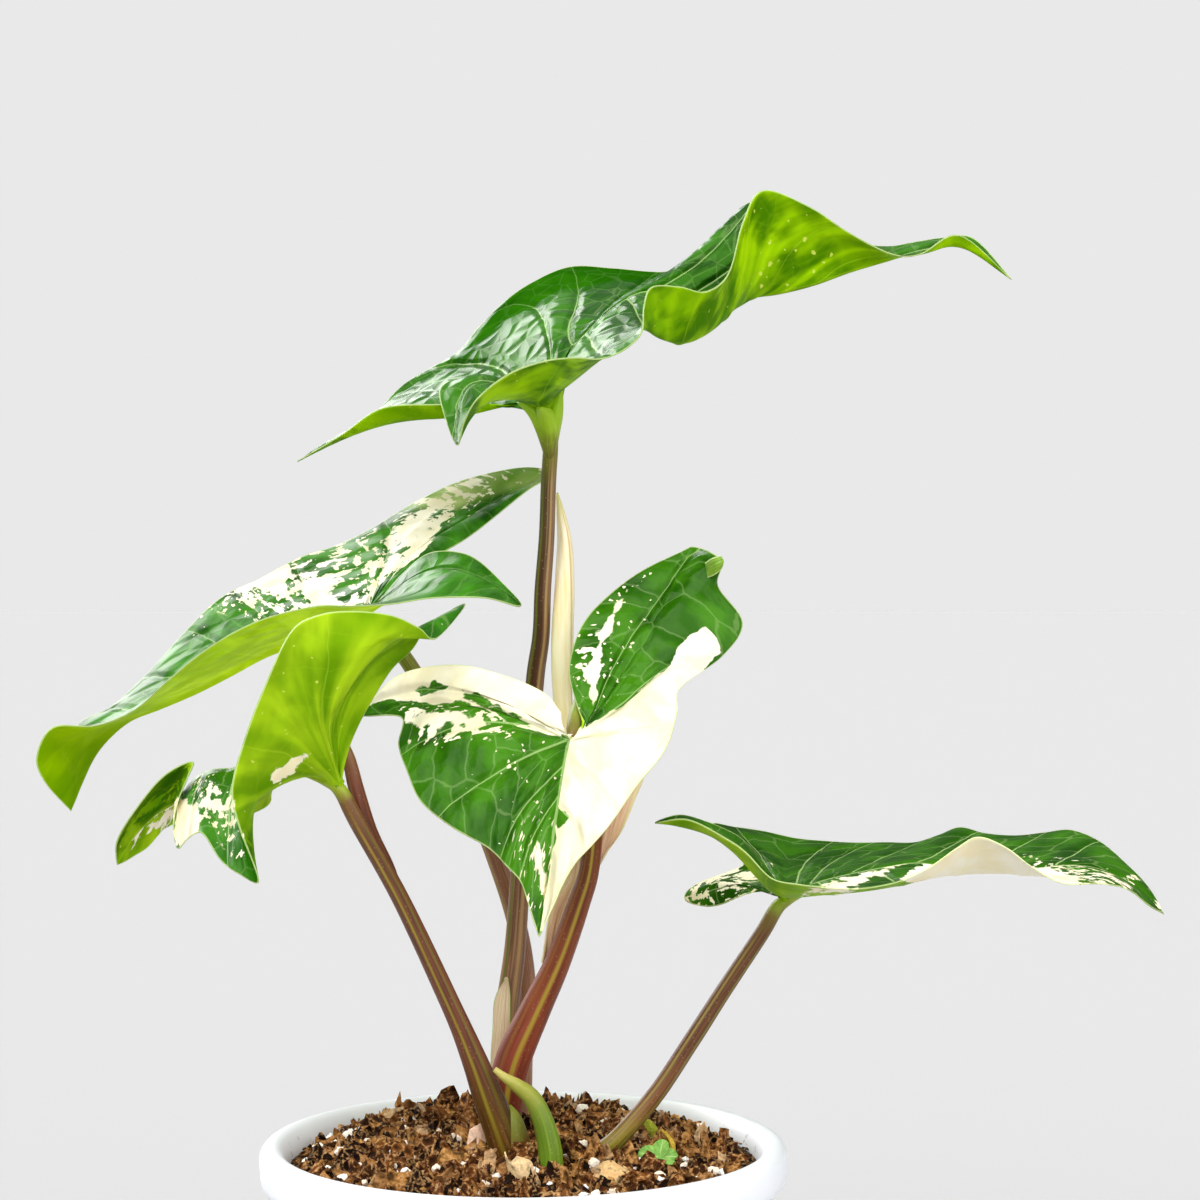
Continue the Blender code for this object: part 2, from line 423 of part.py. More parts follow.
def sheet_object(name, grids, thickness, look, collection):
    """A thin closed piece: grids welded into one open sheet, with Solidify."""
    mesh = bmesh.new()
    for columns, turned in grids:
        add_grid(mesh, columns, turned)
    bmesh.ops.remove_doubles(mesh, verts=mesh.verts, dist=0.00002)
    bmesh.ops.dissolve_degenerate(mesh, edges=mesh.edges, dist=0.00001)
    bmesh.ops.triangulate(mesh, faces=mesh.faces)
    data = bpy.data.meshes.new(name)
    mesh.to_mesh(data)
    mesh.free()
    sheet = bpy.data.objects.new(name, data)
    collection.objects.link(sheet)
    wall = sheet.modifiers.new("thickness", "SOLIDIFY")
    wall.thickness = thickness
    wall.offset = 0.0
    data.materials.append(look)
    return sheet


def blade(name, leaf, columns_per_rib, thickness, look, collection):
    """One leaf blade from its two halves."""
    grids = [(half_columns(leaf, "front", columns_per_rib, BLADE_ROWS), False),
             (half_columns(leaf, "back", columns_per_rib, BLADE_ROWS), True)]
    return sheet_object(name, grids, thickness, look, collection)


def sheath(name, rows, look, collection):
    """A curved sheet through rows of points."""
    lines = [[Vector(p) for p in row] for row in rows]
    return sheet_object(name, [(lines, False)], SHEATH_THICKNESS, look, collection)


def stem_rings(points, end_steps=STEM_STEPS):
    """Centres and radii in metres along a stem of (x, y, z, radius) points, finest at its top."""
    centres = [Vector(p[:3]) for p in points]
    last = len(points) - 1
    places = [step / end_steps for step in range(end_steps)]
    places += [step / STEM_STEPS for step in range(STEM_STEPS, last * STEM_STEPS + 1)]
    rings = []
    for place in places:
        first = min(int(place), last - 1)
        radius = points[first][3] + (points[first + 1][3] - points[first][3]) * (place - first)
        rings.append((smooth_point(centres, place) * MM, radius * MM))
    return rings


def hole_rings(rings):
    """A stem's rings in and near the bark, wider and deeper, so that its tube fits in the hole."""
    low = [(centre, (radius + CLEARANCE) / math.cos(math.pi / STEM_SIDES))
           for centre, radius in rings if centre.z < HOLE_TOP]
    foot, radius = low[-1]
    low.append((foot + (foot - low[-2][0]).normalized() * HOLE_DEPTH, radius))
    return low


def stop_short(rings, sheet):
    """Narrows and ends a stem where it comes close to the sheet of its blade."""
    tree = BVHTree.FromPolygons([v.co for v in sheet.data.vertices],
                                [tuple(face.vertices) for face in sheet.data.polygons])
    kept = []
    for centre, radius in rings:
        room = tree.find_nearest(centre)[3] - BLADE_THICKNESS / 2 - CLEARANCE
        far = not kept or (centre - kept[-1][0]).length > STEM_END_SPACING
        if room > STEM_END_RADIUS and far:
            kept.append((centre, min(radius, room)))
    return kept


def tube(name, rings, look, collection):
    """A round stem through rings of (centre, radius), with its caps welded."""
    curve = bpy.data.curves.new(name, "CURVE")
    curve.dimensions = "3D"
    curve.bevel_depth = 1.0
    curve.bevel_resolution = 2
    curve.use_fill_caps = True
    line = curve.splines.new("POLY")
    line.points.add(len(rings) - 1)
    for point, (centre, radius) in zip(line.points, rings):
        point.co = (*centre, 1.0)
        point.radius = radius
    guide = bpy.data.objects.new(name + "_curve", curve)
    collection.objects.link(guide)
    bpy.context.view_layer.update()
    data = bpy.data.meshes.new_from_object(guide.evaluated_get(bpy.context.evaluated_depsgraph_get()))
    data.name = name
    bpy.data.objects.remove(guide)
    weld_mesh(data)
    stem = bpy.data.objects.new(name, data)
    collection.objects.link(stem)
    data.materials.clear()
    data.materials.append(look)
    data.shade_smooth()
    return stem


def weld_mesh(data):
    """Welds doubles and turns the faces outwards."""
    mesh = bmesh.new()
    mesh.from_mesh(data)
    bmesh.ops.remove_doubles(mesh, verts=mesh.verts, dist=0.00001)
    bmesh.ops.recalc_face_normals(mesh, faces=mesh.faces)
    mesh.to_mesh(data)
    mesh.free()


def boolean(target, operation, cutter, solver="EXACT"):
    """A live Boolean of one object on another."""
    step = target.modifiers.new(operation.lower() + " " + cutter.name, "BOOLEAN")
    step.operation = operation
    step.solver = solver
    step.object = cutter
    return step


def hide_cutter(piece):
    """Marks a piece as a tool that is not part of the plant."""
    piece.hide_render = True
    piece.display_type = "WIRE"


def turned(name, profile, steps, look, collection):
    """A turned piece: a profile of (radius, height) from the axis, over the top and back to the axis."""
    data = bpy.data.meshes.new(name)
    corners = [(radius, 0.0, height) for radius, height in profile]
    data.from_pydata(corners, [(i, i + 1) for i in range(len(corners) - 1)], [])
    piece = bpy.data.objects.new(name, data)
    collection.objects.link(piece)
    screw = piece.modifiers.new("turn", "SCREW")
    screw.steps = steps
    screw.render_steps = steps
    screw.use_merge_vertices = True
    screw.merge_threshold = 0.00001
    data.materials.append(look)
    return piece


def apply_modifiers(piece):
    """Turns an object into the plain mesh that its modifiers give."""
    bpy.context.view_layer.update()
    data = bpy.data.meshes.new_from_object(piece.evaluated_get(bpy.context.evaluated_depsgraph_get()))
    data.name = piece.name
    piece.modifiers.clear()
    piece.data = data


def keep_main_body(piece):
    """Applies the Booleans and drops the crumbs that a cut leaves loose."""
    apply_modifiers(piece)
    mesh = bmesh.new()
    mesh.from_mesh(piece.data)
    bodies = []
    waiting = set(mesh.verts)
    while waiting:
        body = {waiting.pop()}
        edge = list(body)
        while edge:
            here = edge.pop()
            for link in here.link_edges:
                there = link.other_vert(here)
                if there not in body:
                    body.add(there)
                    edge.append(there)
        waiting -= body
        bodies.append(body)
    for body in sorted(bodies, key=len)[:-1]:
        bmesh.ops.delete(mesh, geom=list(body), context="VERTS")
    mesh.to_mesh(piece.data)
    mesh.free()


def pot_inner_radius(height):
    """Radius of the pot's inner wall at a height."""
    foot = POT_FOOT_RADIUS - POT_WALL
    return foot + (POT_MOUTH_RADIUS - foot) * height / POT_HEIGHT


def make_pot(look, parts, cutters):
    """The pot: a tapered shell with a rolled rim and drain holes round a solid middle."""
    skirt = POT_HEIGHT - POT_RIM_DROP
    outer = pot_inner_radius(skirt) + POT_WALL
    rim = POT_RIM_RADIUS
    top = POT_HEIGHT
    profile = [
        (0.0, POT_FLOOR), (pot_inner_radius(POT_FLOOR), POT_FLOOR),
        (pot_inner_radius(0.06), 0.06), (pot_inner_radius(top - 0.003), top - 0.003),
        (POT_MOUTH_RADIUS + 0.0006, top - 0.0012), (POT_MOUTH_RADIUS + 0.0018, top - 0.0003),
        (rim - 0.003, top), (rim - 0.0014, top - 0.0006), (rim - 0.0004, top - 0.0020),
        (rim, top - 0.004), (rim, skirt + 0.0026), (rim - 0.0006, skirt + 0.0008),
        (rim - 0.0018, skirt), (outer, skirt), (POT_FOOT_RADIUS + 0.0006, 0.0025),
        (POT_FOOT_RADIUS - 0.0010, 0.0), (0.0, 0.0),
    ]
    pot = turned("pot", profile, POT_STEPS, look, parts)
    for index in range(DRAIN_HOLES):
        angle = 2 * math.pi * index / DRAIN_HOLES
        mesh = bmesh.new()
        bmesh.ops.create_cone(mesh, cap_ends=True, segments=12, radius1=DRAIN_RADIUS, radius2=DRAIN_RADIUS,
                              depth=0.01)
        data = bpy.data.meshes.new(f"drain_cutter_{index}")
        mesh.to_mesh(data)
        mesh.free()
        cutter = bpy.data.objects.new(data.name, data)
        cutter.location = (DRAIN_CIRCLE * math.cos(angle), DRAIN_CIRCLE * math.sin(angle), 0.0)
        cutters.objects.link(cutter)
        hide_cutter(cutter)
        boolean(pot, "DIFFERENCE", cutter)
    return pot


def soil_height(radius, angle, draw):
    """Height of the bark's surface: slightly domed, rough everywhere but at its edge."""
    dome = 0.0012 * (1 - (radius / POT_MOUTH_RADIUS) ** 2)
    return SOIL_TOP + dome + draw.uniform(-1.0, 1.0) * SOIL_ROUGHNESS


def stem_points_near(height):
    """Where each rooted stem passes through a height, as (x, y, radius) in metres."""
    found = []
    for name in ROOTED:
        points = STEMS[name][0]
        nearest = min(points, key=lambda p: abs(p[2] * MM - height))
        found.append((nearest[0] * MM, nearest[1] * MM, nearest[3] * MM))
    found.append((SEEDLING_ROOT[0] * MM, SEEDLING_ROOT[1] * MM, SEEDLING_STALK))
    return found


def make_soil(look, parts, cutters):
    """The bark mix: one block that fills the pot, with chips fused into its top and holes for the stems."""
    draw = random.Random(CHIP_SEED)
    edge = pot_inner_radius(SOIL_TOP) - CLEARANCE
    low = POT_FLOOR + CLEARANCE
    profile = [(edge * ring / SOIL_RINGS, SOIL_TOP) for ring in range(SOIL_RINGS + 1)]
    profile += [(pot_inner_radius(low) - CLEARANCE, low), (0.0, low)]
    soil = turned("soil", profile, POT_STEPS, look, parts)
    apply_modifiers(soil)
    weld_mesh(soil.data)
    for vertex in soil.data.vertices:
        radius = math.hypot(vertex.co.x, vertex.co.y)
        if vertex.co.z > SOIL_TOP - 0.001 and radius < edge * 0.95:
            vertex.co.z = soil_height(radius, 0.0, draw)

    chips = bpy.data.collections.new("soil_chips")
    bpy.context.scene.collection.children.link(chips)
    stems = stem_points_near(SOIL_TOP)
    placed = 0
    while placed < CHIP_COUNT:
        size = draw.uniform(*CHIP_SIZE)
        radius = (edge - size) * math.sqrt(draw.random())
        angle = draw.uniform(0, 2 * math.pi)
        place = Vector((radius * math.cos(angle), radius * math.sin(angle), SOIL_TOP + 0.0003))
        if any(math.hypot(place.x - x, place.y - y) < r + size * 0.75 for x, y, r in stems):
            continue
        mesh = bmesh.new()
        bmesh.ops.create_cube(mesh, size=1.0)
        for vertex in mesh.verts:
            vertex.co += Vector([draw.uniform(-0.14, 0.14) for _ in range(3)])
        shape = Matrix.Diagonal((size, size * draw.uniform(0.45, 0.8), size * draw.uniform(0.25, 0.5), 1))
        lean = Euler((draw.uniform(-0.5, 0.5), draw.uniform(-0.5, 0.5), draw.uniform(0, 6.28)))
        bmesh.ops.transform(mesh, matrix=Matrix.Translation(place) @ lean.to_matrix().to_4x4() @ shape,
                            verts=mesh.verts)
        bmesh.ops.triangulate(mesh, faces=mesh.faces)
        data = bpy.data.meshes.new(f"chip_{placed}")
        mesh.to_mesh(data)
        mesh.free()
        chips.objects.link(bpy.data.objects.new(data.name, data))
        placed += 1
    fuse = soil.modifiers.new("chips", "BOOLEAN")
    fuse.operation = "UNION"
    fuse.operand_type = "COLLECTION"
    fuse.collection = chips
    fuse.solver = "MANIFOLD"
    apply_modifiers(soil)
    for chip in list(chips.objects):
        bpy.data.objects.remove(chip)
    bpy.data.collections.remove(chips)

    rooted = {name: stem_rings(STEMS[name][0]) for name in ROOTED}
    rooted["seedling"] = seedling_stalk()
    for name, rings in rooted.items():
        hole = tube(name + "_hole", hole_rings(rings), look, cutters)
        hide_cutter(hole)
        boolean(soil, "DIFFERENCE", hole)
    keep_main_body(soil)
    return soil


def seedling_stalk():
    """Centres and radii of the seedling's stalk, from its top down."""
    foot, top = Vector(SEEDLING_ROOT), Vector(SEEDLING_TOP)
    return [(top.lerp(foot, step / 2) * MM, SEEDLING_STALK) for step in range(3)]


def make_seedling(look, parts):
    """A weed seedling with three leaflets, fused into one solid."""
    top = Vector(SEEDLING_TOP)
    seedling = tube("seedling", seedling_stalk(), look, parts)
    leaflets = bpy.data.collections.new("seedling_leaflets")
    bpy.context.scene.collection.children.link(leaflets)
    for index, (heading, rise, length) in enumerate(SEEDLING_LEAFLETS):
        turn = Euler((0.0, -math.radians(rise), math.radians(heading))).to_matrix()
        columns = []
        for step in range(6):
            along = step / 5
            width = LEAFLET_WIDTH * length * math.sin(math.pi * min(0.08 + along * 0.9, 0.98)) / 2
            bend = -0.14 * length * along * along
            across = [Vector((along * length, width * side, bend + 0.12 * width * side * side))
                      for side in (-1.0, -0.5, 0.0, 0.5, 1.0)]
            columns.append([top - Vector((0, 0, 0.35)) + turn @ p for p in across])
        leaflet = sheet_object(f"leaflet_{index}", [(columns, False)], LEAFLET_THICKNESS, look, leaflets)
        apply_modifiers(leaflet)
        weld_mesh(leaflet.data)
    fuse = seedling.modifiers.new("leaflets", "BOOLEAN")
    fuse.operation = "UNION"
    fuse.operand_type = "COLLECTION"
    fuse.collection = leaflets
    apply_modifiers(seedling)
    for leaflet in list(leaflets.objects):
        bpy.data.objects.remove(leaflet)
    bpy.data.collections.remove(leaflets)
    return seedling


def make_plant(looks, parts):
    """Blades, petioles, sheaths, the rolled new leaf and the shoot."""
    sheets = {}
    for name, (leaf, columns) in BLADES.items():
        sheets[name] = blade(name, leaf, columns, BLADE_THICKNESS, looks["leaf"], parts)
    for name, (points, carried, kind) in STEMS.items():
        if carried:
            rings = stop_short(stem_rings(points, STEM_END_STEPS), sheets[carried])
        else:
            rings = stem_rings(points)
        tube(name, rings, looks[kind], parts)
    for name, rows in SHEATHS.items():
        sheath(name, rows, looks["sheath"], parts)


def main():
    for old in list(bpy.data.objects):
        bpy.data.objects.remove(old)
    parts = bpy.data.collections.new("potted_syngonium")
    cutters = bpy.data.collections.new("cutters")
    bpy.context.scene.collection.children.link(parts)
    bpy.context.scene.collection.children.link(cutters)
    looks = {
        "pot": material("white pot plastic", (0.86, 0.87, 0.89), 0.35),
        "soil": material("bark mix", (0.10, 0.045, 0.018), 0.9),
        "leaf": material("leaf green", (0.035, 0.22, 0.03), 0.3),
        "petiole": material("petiole red brown", (0.20, 0.06, 0.035), 0.45),
        "young leaf": material("young leaf cream", (0.86, 0.66, 0.30), 0.45),
        "shoot": material("shoot green", (0.22, 0.36, 0.03), 0.45),
        "sheath": material("sheath peach", (0.70, 0.40, 0.20), 0.5),
        "weed": material("seedling green", (0.10, 0.36, 0.07), 0.5),
    }
    make_pot(looks["pot"], parts, cutters)
    make_soil(looks["soil"], parts, cutters)
    make_plant(looks, parts)
    make_seedling(looks["weed"], parts)


main()
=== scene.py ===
# Potted syngonium: the finished look of the plant, its bark mix and its white nursery pot.
# Lists of points are millimetres; the model is metres, +Z up, and the leaves face -Y.
import json
import math
import random
from functools import partial

import bmesh
import bpy
import numpy as np
from mathutils import Euler, Matrix, Vector, noise

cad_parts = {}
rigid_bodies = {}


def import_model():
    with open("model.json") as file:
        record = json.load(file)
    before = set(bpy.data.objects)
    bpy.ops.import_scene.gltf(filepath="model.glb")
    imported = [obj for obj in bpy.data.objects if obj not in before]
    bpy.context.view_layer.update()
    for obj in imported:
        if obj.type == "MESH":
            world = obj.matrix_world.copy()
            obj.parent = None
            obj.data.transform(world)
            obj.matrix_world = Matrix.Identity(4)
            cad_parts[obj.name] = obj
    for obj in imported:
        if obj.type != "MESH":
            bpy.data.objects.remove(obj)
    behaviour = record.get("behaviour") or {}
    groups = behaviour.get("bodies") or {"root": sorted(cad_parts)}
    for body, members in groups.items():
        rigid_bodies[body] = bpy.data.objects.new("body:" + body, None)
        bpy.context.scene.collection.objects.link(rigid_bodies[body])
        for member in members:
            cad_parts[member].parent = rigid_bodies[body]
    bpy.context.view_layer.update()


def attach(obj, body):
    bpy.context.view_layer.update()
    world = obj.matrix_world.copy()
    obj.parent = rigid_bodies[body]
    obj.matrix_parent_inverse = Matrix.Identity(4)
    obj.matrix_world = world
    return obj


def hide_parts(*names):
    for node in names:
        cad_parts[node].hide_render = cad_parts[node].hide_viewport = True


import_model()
mm = 0.001

view = {
    "place": (18.8, -629.0, 248.5),    # mm, level with the middle of the plant
    "lens": 76.2,                      # mm
    "sensor": 36.0,
    "farthest": 100,                   # m
}
studio = {
    "backdrop": "#E9E9E9",
    "floor": 0.52,                     # reflectance that makes the floor as pale as the backdrop
    "roomLow": 0.06,                   # the room's light near the horizon
    "roomHigh": 1.0,                   # and from straight above
    # soft boxes: heading in degrees from +Y towards +X, height in degrees, half width, half height, brightness
    "boxes": [(-42, 27, 24, 13, 7.0), (-152, 44, 26, 20, 5.0), (138, 30, 26, 20, 3.4)],
    "feather": 9,                      # degrees over which a soft box fades out
    "level": 0.762,                    # brightness of the whole room
    "floorReach": 60.0,                # m, the floor is a disc
    "floorSides": 64,
}


def ink(code):
    # a hex colour as linear values
    parts = [int(code[i:i + 2], 16) / 255 for i in (1, 3, 5)]
    return tuple(c / 12.92 if c < 0.04045 else ((c + 0.055) / 1.055) ** 2.4 for c in parts) + (1.0,)


def setInputs(node, given):
    # plain values and links, by the input's name or number
    for key, value in given.items():
        if isinstance(value, bpy.types.NodeSocket):
            node.id_data.links.new(value, node.inputs[key])
        else:
            node.inputs[key].default_value = value


def addNode(tree, kind, *inputs, give=0, **settings):
    # kind is a shader node's name or another node's whole one, then its operation if it has one; inputs come in
    # their order, or in a dictionary by name or number; returns one output, or the node for None
    kind, *operation = kind.split()
    node = tree.nodes.new(kind if "Node" in kind else "ShaderNode" + kind)
    if operation:
        node.operation = operation[0]
    for name, value in settings.items():
        setattr(node, name, value)
    setInputs(node, inputs[0] if inputs and isinstance(inputs[0], dict) else dict(enumerate(inputs)))
    return node if give is None else node.outputs[give]


def newMaterial(name):
    # a material, what adds nodes to it, and its shader
    made = bpy.data.materials.new(name)
    made.use_nodes = True
    return made, partial(addNode, made.node_tree), made.node_tree.nodes["Principled BSDF"]


def setRungs(ladder, tones):
    # gives a colour ramp its rungs, each a place and a hex colour
    rungs = ladder.color_ramp.elements
    for index, (spot, tone) in enumerate(tones):
        rung = rungs[index] if index < 2 else rungs.new(spot)
        rung.position = spot
        rung.color = ink(tone)
    return ladder.outputs[0]


def layColours(add, body, layers):
    # lays each colour over what is there by its mask; a colour is a hex code or a node's output
    body = ink(body) if isinstance(body, str) else body
    for mask, colour in layers:
        colour = ink(colour) if isinstance(colour, str) else colour
        body = add("Mix", {0: mask, 6: body, 7: colour}, give=2, data_type="RGBA")
    return body


def meshPiece(name, points, faces, attributes=None, material=None):
    # points in metres; attributes are one number for each point
    data = bpy.data.meshes.new(name)
    data.from_pydata([tuple(p) for p in points], [], faces)
    for key, values in (attributes or {}).items():
        layer = data.attributes.new(key, "FLOAT", "POINT")
        layer.data.foreach_set("value", np.asarray(values, dtype=np.float32))
    if material:
        data.materials.append(material)
    data.shade_smooth()
    data.validate()
    piece = bpy.data.objects.new(name, data)
    bpy.context.scene.collection.objects.link(piece)
    return piece


def bake(piece):
    # the plain mesh that an object and its modifiers give
    bpy.context.view_layer.update()
    data = bpy.data.meshes.new_from_object(piece.evaluated_get(bpy.context.evaluated_depsgraph_get()))
    name = piece.name
    bpy.data.objects.remove(piece)
    data.name = name
    made = bpy.data.objects.new(name, data)
    bpy.context.scene.collection.objects.link(made)
    return made


def faceOutwards(data):
    # for a closed mesh
    mesh = bmesh.new()
    mesh.from_mesh(data)
    bmesh.ops.recalc_face_normals(mesh, faces=mesh.faces)
    mesh.to_mesh(data)
    mesh.free()


def finishPiece(piece, slot, *nodes):
    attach(piece, "root")
    if nodes:
        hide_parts(*nodes)


def smoothLine(points, places):
    # Catmull-Rom through the points; a whole number is a point
    points = np.asarray(points, dtype=float)
    last = len(points) - 1
    padded = np.concatenate([[2 * points[0] - points[1]], points, [2 * points[last] - points[last - 1]]])
    first = np.minimum(np.asarray(places).astype(int), last - 1)
    f = (np.asarray(places) - first).reshape([-1] + [1] * (points.ndim - 1))
    a, b, c, d = (padded[first + k] for k in range(4))
    return 0.5 * (2 * b + (c - a) * f + (2 * a - 5 * b + 4 * c - d) * f ** 2 + (3 * b - a - 3 * c + d) * f ** 3)


def fineLine(points, steps):
    # the smooth line, with this many steps from each point to the next
    return smoothLine(points, np.arange((len(points) - 1) * steps + 1) / steps)


def lengthsAlong(line):
    # how far each point lies along a line
    return np.concatenate([[0], np.cumsum(np.linalg.norm(np.diff(line, axis=0), axis=1))])


def gridQuads(index):
    # a quad for each cell of a grid of point numbers
    corners = [index[:-1, :-1], index[1:, :-1], index[1:, 1:], index[:-1, 1:]]
    return np.stack(corners, axis=-1).reshape(-1, 4)


def sheetFaces(index):
    # two grids of points back to back, the second numbered on from the first, and the strip round their edge
    behind = index.size
    quads = gridQuads(index)
    loop = [*index[0, :], *index[1:, -1], *index[-1, -2::-1], *index[-2:0:-1, 0]]
    strip = np.array([(p, q, q + behind, p + behind) for p, q in zip(loop, loop[1:] + loop[:1])])
    return quads.tolist() + (quads[:, ::-1] + behind).tolist() + strip.tolist()


def softStep(low, high, value):
    t = np.clip((value - low) / (high - low), 0, 1)
    return t * t * (3 - 2 * t)


# camera, room and lights
scene = bpy.context.scene
scene.view_settings.view_transform = "Standard"
camera = bpy.data.objects.new("camera", bpy.data.cameras.new("camera"))
camera.data.lens = view["lens"]
camera.data.sensor_width = view["sensor"]
camera.location = Vector(view["place"]) * mm
camera.rotation_euler = (math.pi / 2, 0, 0)
camera.data.clip_end = view["farthest"]
scene.collection.objects.link(camera)
scene.camera = camera

room = bpy.data.worlds.new("pale room with soft boxes")
scene.world = room
room.use_nodes = True
tree = room.node_tree
tree.nodes.clear()
add = partial(addNode, tree)
way = add("SeparateXYZ", add("TexCoord", give="Generated"), give=None).outputs
heading = add("Math ARCTAN2", way["X"], way["Y"])
climb = add("Math ARCSINE", way["Z"])
light = add("MapRange", climb, 0.0, math.pi / 2, studio["roomLow"], studio["roomHigh"])
for turn, lift, wide, tall, bright in studio["boxes"]:
    share = []
    for angle, middle, half in ((heading, turn, wide), (climb, lift, tall)):
        off = add("Math SUBTRACT", angle, math.radians(middle))
        off = add("Math WRAP", off, -math.pi, math.pi)
        off = add("Math ABSOLUTE", off)
        low, high = math.radians(half), math.radians(half + studio["feather"])
        share.append(add("MapRange", off, low, high, 1.0, 0.0, interpolation_type="SMOOTHSTEP"))
    box = add("Math MULTIPLY", share[0], share[1])
    light = add("Math MULTIPLY_ADD", box, bright, light)
light = add("Math MULTIPLY", light, studio["level"])
seen = add("Background", {"Color": ink(studio["backdrop"]), "Strength": 1.0}, give=None)
given = add("Background", {"Color": (1, 1, 1, 1), "Strength": light}, give=None)
path = add("LightPath", give=None)
both = add("MixShader", path.outputs["Is Camera Ray"], given.outputs[0], seen.outputs[0], give=None)
add("OutputWorld", {"Surface": both.outputs[0]}, give=None)

floorPaint, add, shader = newMaterial("matt pale floor")
setInputs(shader, {"Base Color": (studio["floor"],) * 3 + (1.0,), "Roughness": 1.0, "Specular IOR Level": 0.0})
corners = [(studio["floorReach"] * math.cos(a), studio["floorReach"] * math.sin(a), 0.0)
           for a in np.linspace(0, 2 * math.pi, studio["floorSides"], endpoint=False)]
floor = meshPiece("floor", corners, [tuple(range(studio["floorSides"]))], material=floorPaint)
print("room, lights and camera set")

# Each leaf is a midrib from its junction to its tip, and ribs that fan out from it. A lobe's ribs start at
# the junction, and a blade has one rib for each further midrib point. A rib's last point is on the margin.
# The front half faces -Y; on the centre leaf it is the half at -X.
topLeaf = {
    "midrib": [(7, 0, 294), (10.5, 15, 310), (15, 21, 316.5), (20.5, 26, 322.5), (25.5, 30, 326.5),
               (29, 33, 328.5), (32.5, 35, 329), (36.5, 36, 328.5), (42, 38, 328), (47, 39, 328),
               (52, 40, 328), (57, 40, 328.5), (65, 41, 329.5), (75.5, 42, 332), (85, 43, 335.5),
               (94.5, 44, 338.5), (105, 45, 341.5), (115.5, 45, 342), (128, 44, 333.5)],
    "frontLobe": [
        [(4, -1, 295.5), (-0.5, 0, 297)], [(1, -3, 298.5), (-6.5, 0, 303)],
        [(-0.5, -5, 299), (-7.5, -6, 303), (-14.5, -5, 303)],
        [(-1, -6, 298.5), (-10.5, -9, 302.5), (-20, -9, 300.5)],
        [(-0.5, -8, 297.5), (-11.5, -13, 300), (-19.5, -14, 295)],
        [(0, -9, 296.5), (-9.5, -17, 297), (-15.5, -22, 285.5)],
        [(1.5, -10, 296), (-6.5, -18, 296.5), (-13.5, -27, 290.5)],
        [(3, -10, 296), (-3.5, -20, 296.5), (-10, -31, 296)],
        [(5, -10, 296), (2, -21, 297.5), (-2.5, -34, 301.5)], [(7.5, -10, 296.5), (7.5, -21, 299), (6, -34, 304.5)],
    ],
    "frontBlade": [
        [(12, -6, 301.5), (13, -31, 305.5)], [(17, -3, 306.5), (18.5, -28, 305.5)],
        [(22, 2, 312), (22.5, -24, 307)], [(26.5, 8, 316), (26, -20, 309.5)],
        [(29.5, 14, 319), (29, -14, 313.5)], [(32.5, 18, 319.5), (31.5, 4, 314.5), (29.5, -9, 320)],
        [(36, 22, 318), (34.5, 8, 314), (31.5, -4, 325.5)],
        [(41, 26, 317.5), (40, 14, 313.5), (38.5, 3, 326.5)],
        [(46.5, 29, 319.5), (46, 19, 316.5), (45.5, 9, 326)],
        [(51.5, 32, 323), (51, 24, 321), (51.5, 15, 331.5)],
        [(56.5, 35, 325.5), (56, 27, 330), (55.5, 22, 345.5)],
        [(64, 38, 332.5), (62.5, 33, 342.5), (61, 28, 354.5)],
        [(75, 40, 337.5), (74.5, 37, 344), (73.5, 33, 351)], [(84.5, 41, 339.5), (83.5, 36, 345)],
        [(94.5, 42, 339), (95, 38, 339.5)], [(104.5, 43, 340), (103, 40, 339.5)],
        [(114.5, 44, 342.5), (114, 43, 345)],
    ],
    "backLobe": [
        [(4, 3, 295.5), (-1.5, 8, 297)], [(0, 6, 297.5), (-11.5, 12, 298)],
        [(-4, 10, 298.5), (-14, 14, 295), (-22.5, 14, 298)],
        [(-6.5, 13, 299), (-24.5, 20, 294.5), (-37, 20, 297.5)],
        [(-9, 16, 300), (-27.5, 24, 295.5), (-48, 26, 291)],
        [(-10.5, 20, 301), (-33, 30, 298.5), (-60, 32, 284.5)],
        [(-9.5, 24, 303), (-29.5, 36, 301.5), (-50.5, 36, 290.5)],
        [(-8.5, 28, 305.5), (-26, 42, 305.5), (-40.5, 42, 298)],
        [(-7, 30, 307.5), (-22.5, 46, 309), (-33, 46, 306)],
        [(-6, 32, 310.5), (-13, 42, 314), (-19.5, 50, 314.5)],
        [(-3.5, 34, 314), (-9, 46, 318.5), (-14, 54, 321.5)],
        [(-1.5, 34, 316.5), (-5, 48, 324.5), (-7.5, 57, 328.5)],
        [(2, 32, 318), (0.5, 48, 328.5), (0, 58, 334)],
        [(6, 28, 319), (8, 46, 330.5), (10.5, 58, 338.5)],
        [(8, 22, 315), (15, 40, 327.5), (22, 57, 338)],
    ],
    "backBlade": [
        [(16, 30, 321.5), (31.5, 56, 337)], [(22, 36, 325.5), (37, 56, 337)],
        [(28.5, 40, 329.5), (42.5, 57, 339)], [(34.5, 43, 333), (46.5, 58, 343)],
        [(39, 45, 336), (50, 58, 346.5)], [(42.5, 46, 338.5), (53.5, 57, 350.5)],
        [(47, 47, 340), (57, 57, 354.5)], [(51.5, 47, 340.5), (60.5, 56, 356)],
        [(56, 47, 340), (64.5, 55, 355.5)], [(60.5, 47, 339.5), (68.5, 55, 353.5)],
        [(64.5, 47, 338.5), (72.5, 54, 351)], [(72, 46, 337.5), (79, 53, 347)],
        [(82, 46, 338), (88.5, 52, 344)], [(90, 46, 339), (96.5, 50, 343)],
        [(98.5, 46, 340.5), (103, 49, 344)], [(108, 47, 343.5), (111, 48, 345)],
        [(117, 46, 343), (118.5, 47, 344.5)],
    ],
}
